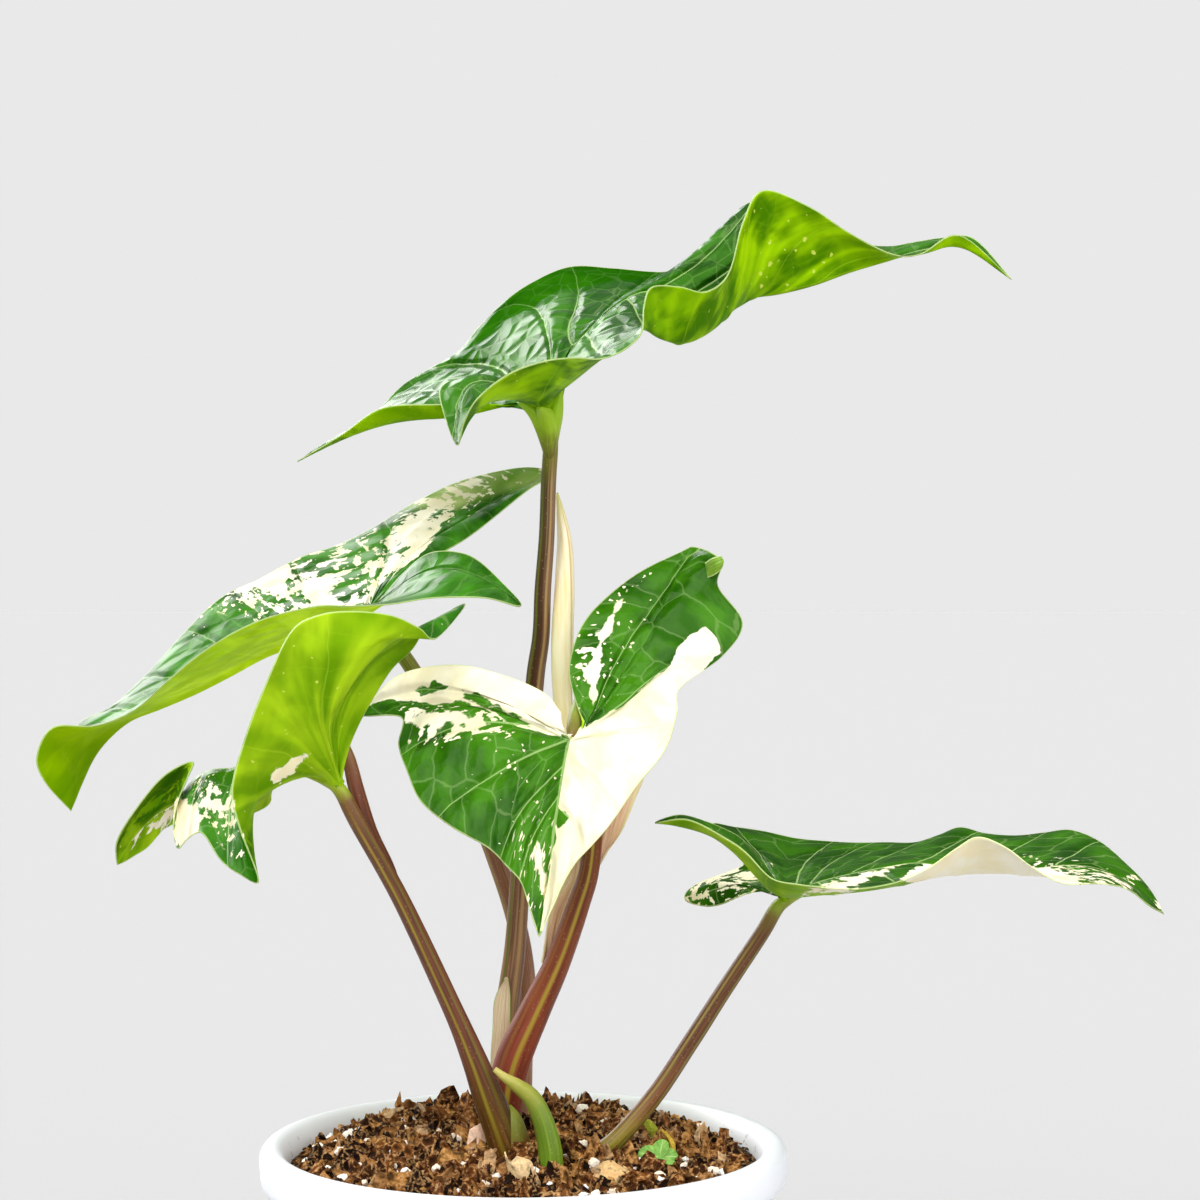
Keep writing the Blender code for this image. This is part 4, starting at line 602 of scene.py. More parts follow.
leafLooks = {
    "top_leaf_blade": {
        "leaf": topLeaf, "rows": 56,
        "frontVeins": [(0, 4.8), (6, 9.6), (11, 11.8), (13, 14.6), (14.6, 17.8), (17, 20.5), (19.5, 22.8),
                       (22, 24.6)],
        "backVeins": [(0, 5), (8, 8.5), (14.6, 10.5), (15.6, 13), (16.6, 15.5), (18, 18.6), (20, 22), (22, 24.5),
                      (24, 27), (27, 29)],
        "quilt": 0.5, "groove": 2.4, "bumps": 0.6, "topDark": "#164A02", "topLight": "#37780C",
        "grain": (2.6, 7.0), "ragged": 3.0, "cell": 6.5, "netShow": 0.2, "shine": (0.22, 0.32), "gloss": 0.3,
        "underDark": "#76AA00", "underLight": "#A8D806", "underDeep": "#326A00", "mottle": 0.9, "specks": 0.42,
        "patches": [
            ("front", "specks", [(54, 331), (60, 338), (72, 343), (81, 340), (76, 333), (66, 327), (57, 325)]),
            ("front", "specks", [(24, 304), (30, 309), (36, 306), (34, 299)]),
            # painted shade: the blade is darker here and loses its gloss
            ("back", "deep", [
                (-18, 306), (-14, 312), (-9, 319), (-1, 328), (8, 333), (18, 333), (36, 331), (33, 326), (23, 326),
                (16, 324.5), (9, 323.5), (2, 319), (-4, 316), (-10, 311)], 2.0),
        ],
    },
    "left_leaf_blade": {
        "leaf": leftLeaf, "flip": 1, "perRib": 9,
        "frontVeins": [(0, 4.8), (8, 9.4), (10.4, 11), (12, 12.6), (13.5, 14.4), (15.2, 16)],
        "backVeins": [(0, 4.6), (7, 7.6), (10, 10.2), (11, 11.6), (12.2, 13), (13.6, 14.6), (15.2, 16)],
        "quilt": 0.4, "groove": 2.4, "bumps": 0.8, "topDark": "#164A04", "topLight": "#3F8518",
        "grain": (1.5, 11.0), "ragged": 4.4, "netAcross": 1.4, "netAlong": 8.0, "netShow": 0.3,
        "shine": (0.32, 0.44), "gloss": 0.2,
        "underDark": "#A8D400", "underLight": "#D4F800", "underDeep": "#5E8E00", "mottle": 0.62, "specks": 0.2,
        "tipShade": 0.8, "through": 0.26, "veinShow": 0.3,
        "patches": [
            ("back", "cream", [
                (-43.5, 246.5), (-41, 254.5), (-36, 262), (-31, 267.5), (-26, 270.5), (-20, 270), (-21, 265),
                (-26, 259), (-31, 255), (-36, 251.5), (-38.5, 246.5)], 0.8),
            ("back", "cream", [
                (-30, 270), (-24, 274.5), (-17.5, 277.5), (-10.5, 279), (-7.5, 276.5), (-13.5, 272),
                (-20, 269)], 2.6),
            ("back", "creamFlecks", [
                (-31, 268), (-24, 275), (-17.5, 278.5), (-2, 281.5), (4, 281), (-2, 277), (-8, 275), (-14, 270.5),
                (-22, 267)]),
            ("back", "pale", [
                (-30, 271), (-13.5, 279.5), (-4.5, 281.5), (6, 281.5), (8, 279), (1.5, 276.5), (-6, 275),
                (-16, 271)]),
            ("back", "cream", [
                (-73.5, 250), (-68.5, 253.5), (-64, 256), (-59, 257.5), (-57, 255), (-59, 251.5), (-56, 246.5),
                (-61, 249.5), (-65.5, 251), (-70.5, 249.5)], 1.4),
            ("back", "cream", [(-57, 254), (-50, 255), (-46, 253), (-45, 247), (-50, 246), (-55, 247)], 3.0),
            ("back", "green", [
                (-58, 259), (-54, 261), (-49.5, 261), (-46.5, 258.5), (-49, 256), (-54, 254.5), (-57, 256)]),
            ("back", "greenFlecks", [(-32, 268), (-24, 276), (-8, 280), (4, 282), (8, 279), (-6, 274), (-20, 267)]),
            ("back", "greenFlecks", [(-46, 246), (-42, 258), (-34, 268), (-30, 262), (-36, 250)], 2.0),
            ("back", "creamFlecks", [
                (-76, 247), (-66, 256), (-56, 261), (-44, 262), (-38, 268), (-40, 246), (-60, 243)]),
            ("back", "specks", [(-92, 238), (-82, 246), (-74, 251), (-70, 248), (-80, 240), (-90, 234)]),
        ],
    },
    "front_leaf_blade": {
        "leaf": frontLeaf, "flip": 1, "perRib": 7, "ease": 2,
        "frontVeins": [(0, 6), (9.8, 10.6), (14.4, 14.2), (16, 16.6), (18.4, 18.6), (20.6, 21), (23, 23.6)],
        "backVeins": [(0, 4), (6, 6.2), (8, 8.6), (10.4, 11), (13, 13.6), (16, 16.6)],
        "quilt": 0.24, "groove": 3.0, "bumps": 0.6, "streak": 2.3, "topDark": "#1F5A08", "topLight": "#418A18",
        "grain": (2.2, 6.0), "ragged": 4.0, "netAcross": 1.3, "netAlong": 9.0, "netShow": 0.25,
        "shine": (0.24, 0.36), "gloss": 0.42, "underDark": "#6C9E04", "underLight": "#B2D81E",
        "underDeep": "#487A04", "mottle": 0.5, "specks": 0.48, "drawn": (2.2, 20.0),
        "patches": [
            ("front", "cream", [
                (-63.5, 204.5), (-61, 207.5), (-57.5, 209.5), (-53, 209.8), (-54.5, 208), (-57.5, 206),
                (-61, 203.5)], 1.4),
            ("front", "cream", [
                (-87, 197), (-85, 199.5), (-81.5, 197.5), (-79.5, 194.5), (-81, 190), (-84.5, 186),
                (-86.5, 189.5)]),
            ("front", "cream", [
                (-78.5, 200), (-75.5, 198.5), (-72, 198.5), (-72, 196.5), (-76, 195.5), (-79.5, 197.5)], 3.0),
            ("front", "creamFlecks", [
                (-82, 206), (-78, 205), (-74, 200), (-71, 191), (-70, 184), (-73, 188), (-79, 196)]),
            # painted shade over the next two patches
            ("front", "deep", [
                (-102.5, 184.5), (-102, 190), (-96, 197), (-90, 203.5), (-85, 209.5), (-80, 210.5), (-83, 204.5),
                (-84.5, 198.5), (-87, 198), (-93, 193.5), (-96, 192), (-99, 187.5)]),
            ("front", "deep", [(-71, 192), (-67.5, 191), (-66, 182), (-62, 172), (-66, 172)]),
            ("back", "cream", [
                (-92.5, 192), (-90, 195.5), (-86, 198.5), (-84, 198), (-88, 195), (-91, 191.5)], 2.0),
            ("back", "creamFlecks", [(-100, 187), (-96, 196), (-90, 202), (-86, 206), (-85, 199), (-92, 192)]),
        ],
    },
    "centre_leaf_blade": {
        "leaf": centreLeaf, "perRib": 9, "rows": 56,
        "frontVeins": [(0, 5.4), (6.6, 8.4), (10, 10.6), (11.6, 12.6), (12.6, 14)],
        "backVeins": [(0, 6.2), (9.8, 10.4), (12.6, 12.4), (14.4, 14.8), (16, 16.6)],
        "quilt": 0.4, "groove": 3.0, "bumps": 0.7, "topDark": "#184C02", "topLight": "#3E7C0C",
        "grain": (2.2, 6.0), "ragged": 2.6, "netAcross": 1.7, "netAlong": 8.0, "netShow": 0.26,
        "shine": (0.22, 0.34), "gloss": 0.22, "veinShow": 0.5, "underDark": "#88BA08", "underLight": "#B6DC1C",
        "underDeep": "#5E9208", "mottle": 0.4,
        "patches": [
            ("front", "cream", [
                (-40.5, 223), (-37.5, 228), (-32.5, 232), (-26, 236), (-17, 237), (-6, 236), (3.5, 233), (10, 228),
                (13, 215), (6, 215), (2.5, 216), (-2, 217.5), (-6.5, 219.5), (-10.5, 222), (-16.5, 223.5),
                (-22, 222.5), (-28, 223.5), (-33.5, 224), (-39, 222)]),
            ("front", "green", [
                (-27, 226), (-25, 227), (-23.5, 226.8), (-22, 228.5), (-20.5, 227.6), (-18.5, 227), (-20, 226),
                (-22.5, 225.4), (-25, 225)]),
            ("front", "green", [
                (-15.5, 226.3), (-13.5, 225.5), (-11, 225.5), (-10, 224), (-8, 223.3), (-8.5, 221.8),
                (-10.5, 222.3), (-12.5, 223.6), (-14.8, 224.6)]),
            ("front", "green", [
                (-8.5, 222.8), (-6, 222), (-3.5, 220.8), (-1, 219.5), (1, 218), (-2, 217), (-5, 218.5), (-8, 221)]),
            ("front", "cream", [
                (-29, 219.5), (-24, 220.5), (-17, 220.3), (-11, 219), (-8, 217.5), (-12, 216.8), (-17, 217.8),
                (-21, 216.5), (-26, 216.5), (-29, 217.5)], 2.4),
            ("front", "creamFlecks", [
                (-30, 221), (-20, 221.5), (-8, 219), (-4, 215.5), (-13.5, 215), (-18.5, 213), (-23.5, 212.5),
                (-28, 214.5)]),
            ("front", "specks", [
                (-12, 204), (-6, 210), (4, 214.5), (9.5, 214), (9.5, 176), (4, 172), (-6, 186), (-4, 196), (2, 200),
                (-4, 203)], 2.5),
            ("front", "creamFlecks", [(3, 188), (7, 191), (7.5, 171), (4, 173)], 3.5),
            ("front", "cream", [
                (3.2, 189), (4.6, 186), (5.4, 180), (6.2, 174), (7, 166), (5.4, 170), (4, 177), (2.8, 184)], 1.8),
            ("back", "cream", [
                (10, 214), (16.5, 218), (23.5, 221.5), (30, 226.5), (36.5, 232.5), (38, 236.5), (41, 240),
                (44.5, 241.5), (47.5, 239.5), (49, 235.5), (45, 232.5), (44, 226), (44, 214), (38, 202),
                (28.5, 196), (19, 186), (12.5, 176), (6, 162), (2, 170), (8, 190), (8.5, 206)]),
            ("back", "green", [(8, 197.5), (11, 194.5), (8, 191)]),
            ("back", "cream", [
                (17, 221), (15.8, 226), (15.6, 231), (18, 238.5), (21, 244), (24.5, 250), (26, 253), (26, 250),
                (22.6, 244.5), (20, 237.5), (18.2, 231), (18.2, 225)], 1.3),
            ("back", "creamFlecks", [(14, 228), (14, 236), (18, 244), (20, 240), (17, 228)]),
            ("back", "specks", [(12, 220), (12, 238), (24, 256), (32, 256), (30, 240), (22, 222)]),
        ],
    },
    "right_leaf_blade": {
        "leaf": rightLeaf,
        "frontVeins": [(0, 4.8), (8, 9), (10.8, 11.6), (12.6, 13.6), (14.6, 15.6), (16.8, 18), (19, 20)],
        "backVeins": [(0, 3.8), (7, 8), (10.6, 11.2), (11.4, 12.6), (13, 14.4), (15, 16.8), (17.4, 19), (19.6, 21)],
        "quilt": 0.3, "groove": 2.6, "bumps": 0.5, "topDark": "#1A4604", "topLight": "#376E0C",
        "grain": (1.8, 6.0), "ragged": 2.6, "netAcross": 1.4, "netAlong": 8.0, "netShow": 0.24,
        "shine": (0.3, 0.42), "gloss": 0.04, "underDark": "#76A808", "underLight": "#A4CC1C",
        "underDeep": "#4E8208", "mottle": 0.5,
        "patches": [
            ("back", "cream", [
                (41, 175), (45, 180), (51, 182), (56.5, 181.5), (62, 177.5), (54.5, 178), (48.5, 177), (45, 175.5),
                (42, 173.5)]),
            ("back", "creamFlecks", [(38, 182), (60, 182), (60, 168), (38, 168)]),
            ("back", "greenFlecks", [(36, 184), (62, 184), (62, 168), (36, 168)]),
            ("front", "cream", [
                (68.5, 176), (76, 178), (82.5, 180), (88, 182), (94.5, 184.5), (93, 182), (85.5, 178.5),
                (78, 176)], 2.4),
            ("front", "cream", [
                (93.5, 179), (99.5, 183.5), (104, 188), (109, 191), (114, 192), (119, 190), (125.5, 186),
                (130, 182), (137.5, 179), (138, 176), (118, 176), (105.5, 177)]),
            ("front", "green", [(92, 181.5), (96.5, 184.5), (100, 185), (96.5, 182)]),
            ("front", "creamFlecks", [(124, 184), (150, 184), (150, 174), (124, 176)]),
            ("back", "creamFlecks", [(120, 183.5), (148, 181), (160, 170), (150, 172), (136, 179)]),
        ],
    },
}


leafMake = {
    "narrow": (3, 14),                 # mm, a blade this narrow isn't eased, and one this wide is
    "edge": 0.16, "body": 0.12,        # mm, half the blade's thickness at its margin, and what it gains within
    "clearOfRib": 4.0,                 # mm, the quilting rises over this far from the midrib
    "clearOfMargin": 5.0,
    "ridge": 1.3,                      # mm, half width of the ridge under the midrib
    "ridgeHeight": 1.15, "ridgeEnd": 0.12,
    "laneWidth": 9.0,                  # mm, about how far apart the side veins stand
    "farthest": 8.0,                   # mm, past which a distance from a patch is all one
}


def halfGrid(leaf, half, perRib, rows, ease):
    # columns of points from the midrib to the margin, each column's place among the ribs and along the midrib,
    # and how many ribs the lobe has
    midrib = np.array(leaf["midrib"], dtype=float)
    across = np.linspace(0, 1, rows + 1)
    ribs = [[midrib[0]] + rib for rib in leaf[half + "Lobe"]]
    starts = [0.0] * len(ribs)
    for index, rib in enumerate(leaf[half + "Blade"]):
        ribs.append([midrib[index + 1]] + rib)
        starts.append(index + 1.0)
    lines = [smoothLine(rib, across * (len(rib) - 1)) for rib in ribs]
    lines.append(np.repeat([midrib[-1]], rows + 1, axis=0))
    starts.append(len(midrib) - 1.0)
    places = np.arange((len(lines) - 1) * perRib + 1) / perRib
    grid = smoothLine(lines, places)
    along = np.interp(places, range(len(starts)), starts)
    grid += (smoothLine(midrib, along) - grid[:, 0])[:, None] * ((1 - across) ** 2)[None, :, None]
    # columns are eased towards their neighbours, less where the blade is narrow
    wide = np.linalg.norm(grid[1:-1, -1] - grid[1:-1, 0], axis=1)
    hold = (np.sin(math.pi * across).clip(0, 1) ** 0.7)[None, :, None]
    hold = hold * softStep(*leafMake["narrow"], wide)[:, None, None]
    for turn in range(ease * perRib):
        middle = 0.5 * grid[1:-1] + 0.25 * (grid[:-2] + grid[2:])
        grid[1:-1] += (middle - grid[1:-1]) * hold
    return grid, places, along, len(leaf[half + "Lobe"])


def patchDistance(spots, outline):
    # signed distance in mm from an outline, positive inside
    outline = np.array(outline, dtype=float)
    ends = np.roll(outline, -1, axis=0)
    nearest = np.full(len(spots), 1e9)
    inside = np.zeros(len(spots), dtype=bool)
    for (ax, az), (bx, bz) in zip(outline, ends):
        edge = np.array([bx - ax, bz - az])
        t = np.clip(((spots - [ax, az]) @ edge) / max(edge @ edge, 1e-9), 0, 1)
        nearest = np.minimum(nearest, np.linalg.norm(spots - [ax, az] - t[:, None] * edge, axis=1))
        if az != bz:
            crosses = (az > spots[:, 1]) != (bz > spots[:, 1])
            inside ^= crosses & (spots[:, 0] < (bx - ax) * (spots[:, 1] - az) / (bz - az) + ax)
    return np.where(inside, nearest, -nearest)


def bladeFields(look, half, grid, places, along, lobeRibs):
    # for each point its place among the veins and its share in each patch
    columns, across = len(grid), np.linspace(0, 1, look["rows"] + 1)
    steps = np.linalg.norm(np.diff(grid, axis=1), axis=2)
    reach = np.concatenate([np.zeros((columns, 1)), np.cumsum(steps, axis=1)], axis=1)
    # a vein runs on each whole lane, and bends towards the margin
    lane = np.empty((columns, len(across)))
    for row, spread in enumerate(across ** 0.8):
        at = [a + (b - a) * spread for a, b in sorted(look[half + "Veins"])]
        stops = [min(at[0], 0) - 2.5] + at + [max(at[-1], places[-1]) + 0.01]
        lane[:, row] = np.interp(places, stops, range(len(stops)))
    spacing = np.linalg.norm(np.gradient(grid, axis=0), axis=2)
    gap = spacing / np.maximum(np.abs(np.gradient(lane, axis=0)), 1e-3)
    onRib = places >= lobeRibs - 0.5
    ribWidth = np.where(onRib, 1.0 - 0.6 * along / along[-1], 0.5)
    # where the camera sees each point in the plane of the pot's middle
    spots = grid.reshape(-1, 3)
    depth = -view["place"][1] / (spots[:, 1] - view["place"][1])
    seenAt = np.stack([view["place"][k] + (spots[:, k] - view["place"][k]) * depth for k in (0, 2)], axis=1)
    cream = np.full(len(spots), -leafMake["farthest"])
    soft = {kind: np.zeros(len(spots)) for kind in ("creamFlecks", "greenFlecks", "pale", "deep")}
    soft["specks"] = np.full(len(spots), look["specks"])
    for side, kind, outline, *loose in look["patches"]:
        if side != half:
            continue
        # a loose patch has a more ragged edge
        distance = patchDistance(seenAt, outline) / (loose[0] if loose else 1.0)
        if kind == "cream":
            cream = np.maximum(cream, distance)
        elif kind == "green":
            cream = np.minimum(cream, -distance)
        else:
            blend = (-1.5, 1.5) if kind in ("pale", "deep") else (-3.0, 2.0)
            soft[kind] = np.maximum(soft[kind], softStep(*blend, distance))
    return {
        "across": np.tile(across, columns), "reach": reach.ravel(), "margin": (reach[:, -1:] - reach).ravel(),
        "lane": lane.ravel(), "laneGap": np.clip(gap, 0.2, 30).ravel(),
        "ribWidth": np.repeat(ribWidth, len(across)), "alongRib": np.repeat(along / along[-1] * onRib, len(across)),
        "cream": np.clip(cream, -leafMake["farthest"], leafMake["farthest"]), **soft,
    }


def pointNormals(points, faces):
    normals = np.zeros_like(points)
    for size in (3, 4):
        group = np.array([f for f in faces if len(f) == size])
        if len(group):
            p = points[group]
            n = np.cross(p[:, 1] - p[:, 0], p[:, 2] - p[:, 0])
            if size == 4:
                n += np.cross(p[:, 2] - p[:, 0], p[:, 3] - p[:, 0])
            for corner in range(size):
                np.add.at(normals, group[:, corner], n)
    return normals / np.maximum(np.linalg.norm(normals, axis=1, keepdims=True), 1e-9)


def makeLeaf(name, look):
    halves = {half: halfGrid(look["leaf"], half, look["perRib"], look["rows"], look["ease"])
              for half in ("front", "back")}
    # both halves share the midrib's points
    front, lobeRibs = halves["front"][0], halves["front"][3]
    tail = len(front) - lobeRibs * look["perRib"]
    halves["back"][0][-tail:, 0] = front[-tail:, 0]
    points, fields, quads, count = [], [], [], 0
    for half, parts in halves.items():
        fields.append(bladeFields(look, half, *parts))
        points.append(parts[0].reshape(-1, 3))
        index = np.arange(len(points[-1])).reshape(parts[0].shape[:2]) + count
        quads.append(gridQuads(index) if half == "front" else gridQuads(index)[:, ::-1])
        count += len(points[-1])
    points, quads = np.concatenate(points), np.concatenate(quads)
    if look["flip"] < 0:
        quads = quads[:, ::-1]
    # one point where the halves meet
    first, joined = np.unique(np.round(points, 4), axis=0, return_index=True, return_inverse=True)[1:]
    points = points[first]
    fields = {key: np.concatenate([f[key] for f in fields])[first] for key in fields[0]}
    faces = []
    for quad in joined.ravel()[quads]:
        ring = [int(q) for k, q in enumerate(quad) if q != quad[k - 1]]
        if len(set(ring)) >= 3:
            faces.append(ring)
    # quilting between veins, a groove over the midrib and a ridge under it
    fromVein = np.abs(fields["lane"] - np.round(fields["lane"])) * fields["laneGap"]
    room = softStep(0, look["groove"], fromVein) * softStep(0, leafMake["clearOfRib"], fields["reach"])
    quilt = look["quilt"] * (room * softStep(0, leafMake["clearOfMargin"], fields["margin"]))
    ridge = np.exp(-(fields["reach"] / leafMake["ridge"]) ** 2)
    strength = leafMake["ridgeHeight"] * (1 - fields["alongRib"]) ** 1.5 + leafMake["ridgeEnd"]
    thin = leafMake["edge"] + leafMake["body"] * softStep(0, 6, fields["margin"])
    normals = pointNormals(points, faces)
    top = points + normals * (thin + quilt - 0.25 * ridge)[:, None]
    under = points - normals * (thin - 0.7 * quilt + ridge * strength)[:, None]
    # a shell of the two skins and the strip round their margin
    total = len(points)
    shell = faces + [[i + total for i in reversed(f)] for f in faces]
    edges = dict.fromkeys(pair for f in faces for pair in zip(f, f[1:] + f[:1]))
    shell += [(b, a, a + total, b + total) for a, b in edges if (b, a) not in edges]
    fields = {key: np.tile(values, 2) for key, values in fields.items()}
    piece = meshPiece(name + "_fine", np.concatenate([top, under]) * mm, shell, fields)
    tissue = name.replace("_blade", "").replace("_", " ")
    piece.data.materials.append(leafTissue(tissue + " upper tissue", look, True))
    piece.data.materials.append(leafTissue(tissue + " under tissue", look, False))
    sides = np.zeros(len(piece.data.polygons), dtype=np.int32)
    sides[len(faces):2 * len(faces)] = 1
    piece.data.polygons.foreach_set("material_index", sides)
    return piece


def leafTissue(name, look, upper):
    # living leaf tissue: above, a waxy cuticle over green cells that makes every pillow a soft mirror;
    # below, matt and yellow green with a painted glow for light through it; cream where the cells hold no green
    made, add, shader = newMaterial(name)
    read = {key: add("Attribute", give="Fac", attribute_name=key) for key in
            ("across", "reach", "margin", "lane", "laneGap", "ribWidth", "alongRib", "cream", "creamFlecks",
             "greenFlecks", "pale", "deep", "specks")}
    place = add("TexCoord", give="Object")
    soft = add("TexNoise", {"Vector": place, "Scale": 70.0, "Detail": 3.0})
    fine = add("TexNoise", {"Vector": place, "Scale": 480.0, "Detail": 2.0})
    # grains drawn out along the ribs: width and length in mm, detail
    grains = {"streak": (look["streak"], 30.0, 1.0), "band": (7.0, 40.0, 1.0), "mottle": look["drawn"] + (3.0,),
              "blotch": look["grain"] + (3.0,), "small": (1.2, 2.6, 2.0), "dots": (1.6, 3.2, 3.0)}
    for seed, (key, (wide, long, detail)) in enumerate(list(grains.items())):
        x = add("Math MULTIPLY", read["lane"], leafMake["laneWidth"] / wide)
        y = add("Math MULTIPLY", read["reach"], 1.0 / long)
        at = add("CombineXYZ", x, y, seed * 3.7)
        grains[key] = add("TexNoise", {"Vector": at, "Scale": 1.0, "Detail": detail, "Roughness": 0.55})
    # the line of a vein wanders a little
    wander = add("Math SUBTRACT", soft, 0.5)
    laneAt = add("Math MULTIPLY_ADD", wander, 0.14, read["lane"])
    offLane = add("Math PINGPONG", laneAt, 0.5)
    offLane = add("Math MULTIPLY", offLane, read["laneGap"])
    if "cell" in look:
        # a net whose pillows are as wide as they are long
        netAt = add("VectorMath SCALE", {0: place, 3: 1000 / look["cell"]})
    else:
        # a net of small veins within each lane
        x = add("Math FLOOR", laneAt)
        x = add("Math MULTIPLY", x, 7.3)
        within = add("Math FRACT", laneAt)
        x = add("Math MULTIPLY_ADD", within, look["netAcross"], x)
        y = add("Math MULTIPLY", read["reach"], 1.0 / look["netAlong"])
        bend = add("TexNoise", {"Vector": place, "Scale": 260.0}, give="Color")
        bend = add("VectorMath SCALE", {0: bend, 3: 0.22})
        netAt = add("VectorMath ADD", add("CombineXYZ", x, y, 0.0), bend)
    net = add("TexVoronoi", {"Vector": netAt, "Scale": 1.0, "Randomness": 0.9}, give="Distance",
              feature="DISTANCE_TO_EDGE", voronoi_dimensions="3D" if "cell" in look else "2D")
    # round specks: about 1.7 mm apart above, larger and fewer below
    stray = add("TexNoise", {"Vector": place, "Scale": 900.0}, give="Color")
    stray = add("VectorMath SCALE", {0: stray, 3: 0.0016})
    at = add("VectorMath ADD", place, stray)
    spot = add("TexVoronoi", {"Vector": at, "Scale": 620.0 if upper else 420.0}, give=None)
    spotSize = add("SeparateColor", spot.outputs["Color"])
    spotSize = add("Math MULTIPLY_ADD", spotSize, 0.56, -0.2)
    spotSize = add("Math MULTIPLY", spotSize, read["specks"])
    veinWidth = add("MapRange", read["across"], 0.0, 1.0, 0.3, 0.08)
    mottled = add("Math MULTIPLY", soft, 0.5)
    banded = add("Math MULTIPLY", grains["band"], 0.5)
    # each mask: value, its low and high end, and what they give
    masks = {
        "sideVein": (add("Math SUBTRACT", offLane, veinWidth), -0.1, 0.14, 1.0, 0.0),
        "midVein": (add("Math MULTIPLY_ADD", read["ribWidth"], -0.55, read["reach"]),
                    -0.15, 0.25, 1.0, 0.0),
        # rim: where the painted highlight along the margin goes
        "rim": (read["margin"], 0.12, 0.4, 1.0, 0.0),
        "netLine": (net, 0.012, 0.04, look["netShow"], 0.0),
        "pillow": (net, 0.0, 0.42, 0.0, 1.0),
        "laneRise": (offLane, 0.0, 2.4, 0.0, 1.0),
        "ribRise": (read["reach"], 0.2, 2.6, 0.0, 1.0),
        "speck": (add("Math SUBTRACT", spotSize, spot.outputs["Distance"]),
                  -0.02, 0.05, 0.0, 1.0),
        "anyFleck": (read["creamFlecks"], 0.05, 0.3, 0.0, 1.0),
        "fleck": (add("Math MULTIPLY_ADD", read["creamFlecks"], 0.13, grains["small"]),
                  0.66, 0.69, 0.0, 1.0),
        "splash": (add("Math MULTIPLY_ADD", read["creamFlecks"], 0.09, grains["blotch"]),
                   0.66, 0.69, 0.0, 1.0),
        "anyGreen": (read["greenFlecks"], 0.05, 0.3, 0.0, 1.0),
        "green": (add("Math MULTIPLY_ADD", read["greenFlecks"], 0.1, grains["dots"]),
                  0.6, 0.63, 0.0, 1.0),
        "openLane": (read["laneGap"], 2.0, 8.0, 0.1, 1.0),
        # dark: blotches through which the deep patches' painted shade shows
        "dark": (grains["dots"], 0.38, 0.5, 0.1, 0.9),
        "tone": (add("Math MULTIPLY_ADD", grains["mottle"], 0.5, mottled), 0.4, 0.6, 0.0, 1.0),
        "streaky": (add("Math MULTIPLY_ADD", grains["streak"], 0.5, banded),
                    0.36, 0.64, 0.0, 1.0),
    }
    for key, (value, low, high, first, last) in masks.items():
        masks[key] = add("MapRange", value, low, high, first, last, interpolation_type="SMOOTHSTEP")
    # cream patches have ragged edges, drawn out along the ribs
    shift = look["ragged"]
    edge = add("Math MULTIPLY_ADD", grains["blotch"], shift, read["cream"])
    edge = add("Math MULTIPLY_ADD", grains["small"], shift * 0.5, edge)
    solid = add("MapRange", edge, shift * 0.75 - 0.08, shift * 0.75 + 0.16, 0.0, 1.0)
    flecked = add("Math MAXIMUM", masks["fleck"], masks["splash"])
    flecked = add("Math MULTIPLY", flecked, masks["anyFleck"])
    bare = add("Math MAXIMUM", solid, flecked)
    if upper and "cell" not in look:
        bare = add("Math MAXIMUM", bare, masks["speck"])
    leftGreen = add("Math MULTIPLY", masks["green"], masks["anyGreen"])
    leftGreen = add("Math SUBTRACT", 1.0, leftGreen)
    bare = add("Math MULTIPLY", bare, leftGreen)
    veins = add("Math MAXIMUM", masks["sideVein"], masks["midVein"])
    lines = add("Math MAXIMUM", veins, masks["netLine"])
    # colours, each laid over the last: mask, strength, colour
    if upper:
        body = look["topDark"]
        paleTone = layColours(add, "#6F9E2A", [(masks["streaky"], "#D5E08E")])
        layers = [(masks["tone"], 1.0, look["topLight"]), (masks["streaky"], 0.3, look["topLight"]),
                  (lines, look["veinShow"], "#B9D68A"), (read["pale"], 0.8, paleTone),
                  # painted shade: darker green over the deep patches
                  (read["deep"], 0.7, "#1E5C04")]
        cream, creamTone, creamVein = "#FFF8DE", "#F3E8C2", "#EFEDAE"
    else:
        body = look["underDark"]
        tone = add("Mix", {0: masks["openLane"], 2: 0.5, 3: masks["streaky"]})
        layers = [(tone, 1.0, look["underLight"]), (masks["tone"], look["mottle"], look["underDeep"]),
                  # painted shade: darker green over the deep patches, in blotches, and towards the tip by tipShade
                  (read["deep"], masks["dark"], "#2F6206"),
                  (read["alongRib"], look["tipShade"], look["underDeep"]), (lines, 0.2, "#C8E03A"),
                  (masks["speck"], 0.7, "#DCE462")]
        cream, creamTone, creamVein = "#FFF9E2", "#FBEFC8", "#F4EFB0"
    veins = add("Math MULTIPLY", veins, 0.5)
    cream = layColours(add, cream, [(masks["tone"], creamTone), (veins, creamVein)])
    layers = [(add("Math MULTIPLY", share, strength), colour) for share, strength, colour in layers]
    # a painted highlight along the margin, where the thin edge catches the light
    rim = add("Math MULTIPLY", masks["rim"], 0.6)
    body = layColours(add, body, [*layers, (bare, cream), (rim, "#D6E89A")])
    rough = add("MapRange", soft, 0.3, 0.7, *(look["shine"] if upper else (0.42, 0.55)))
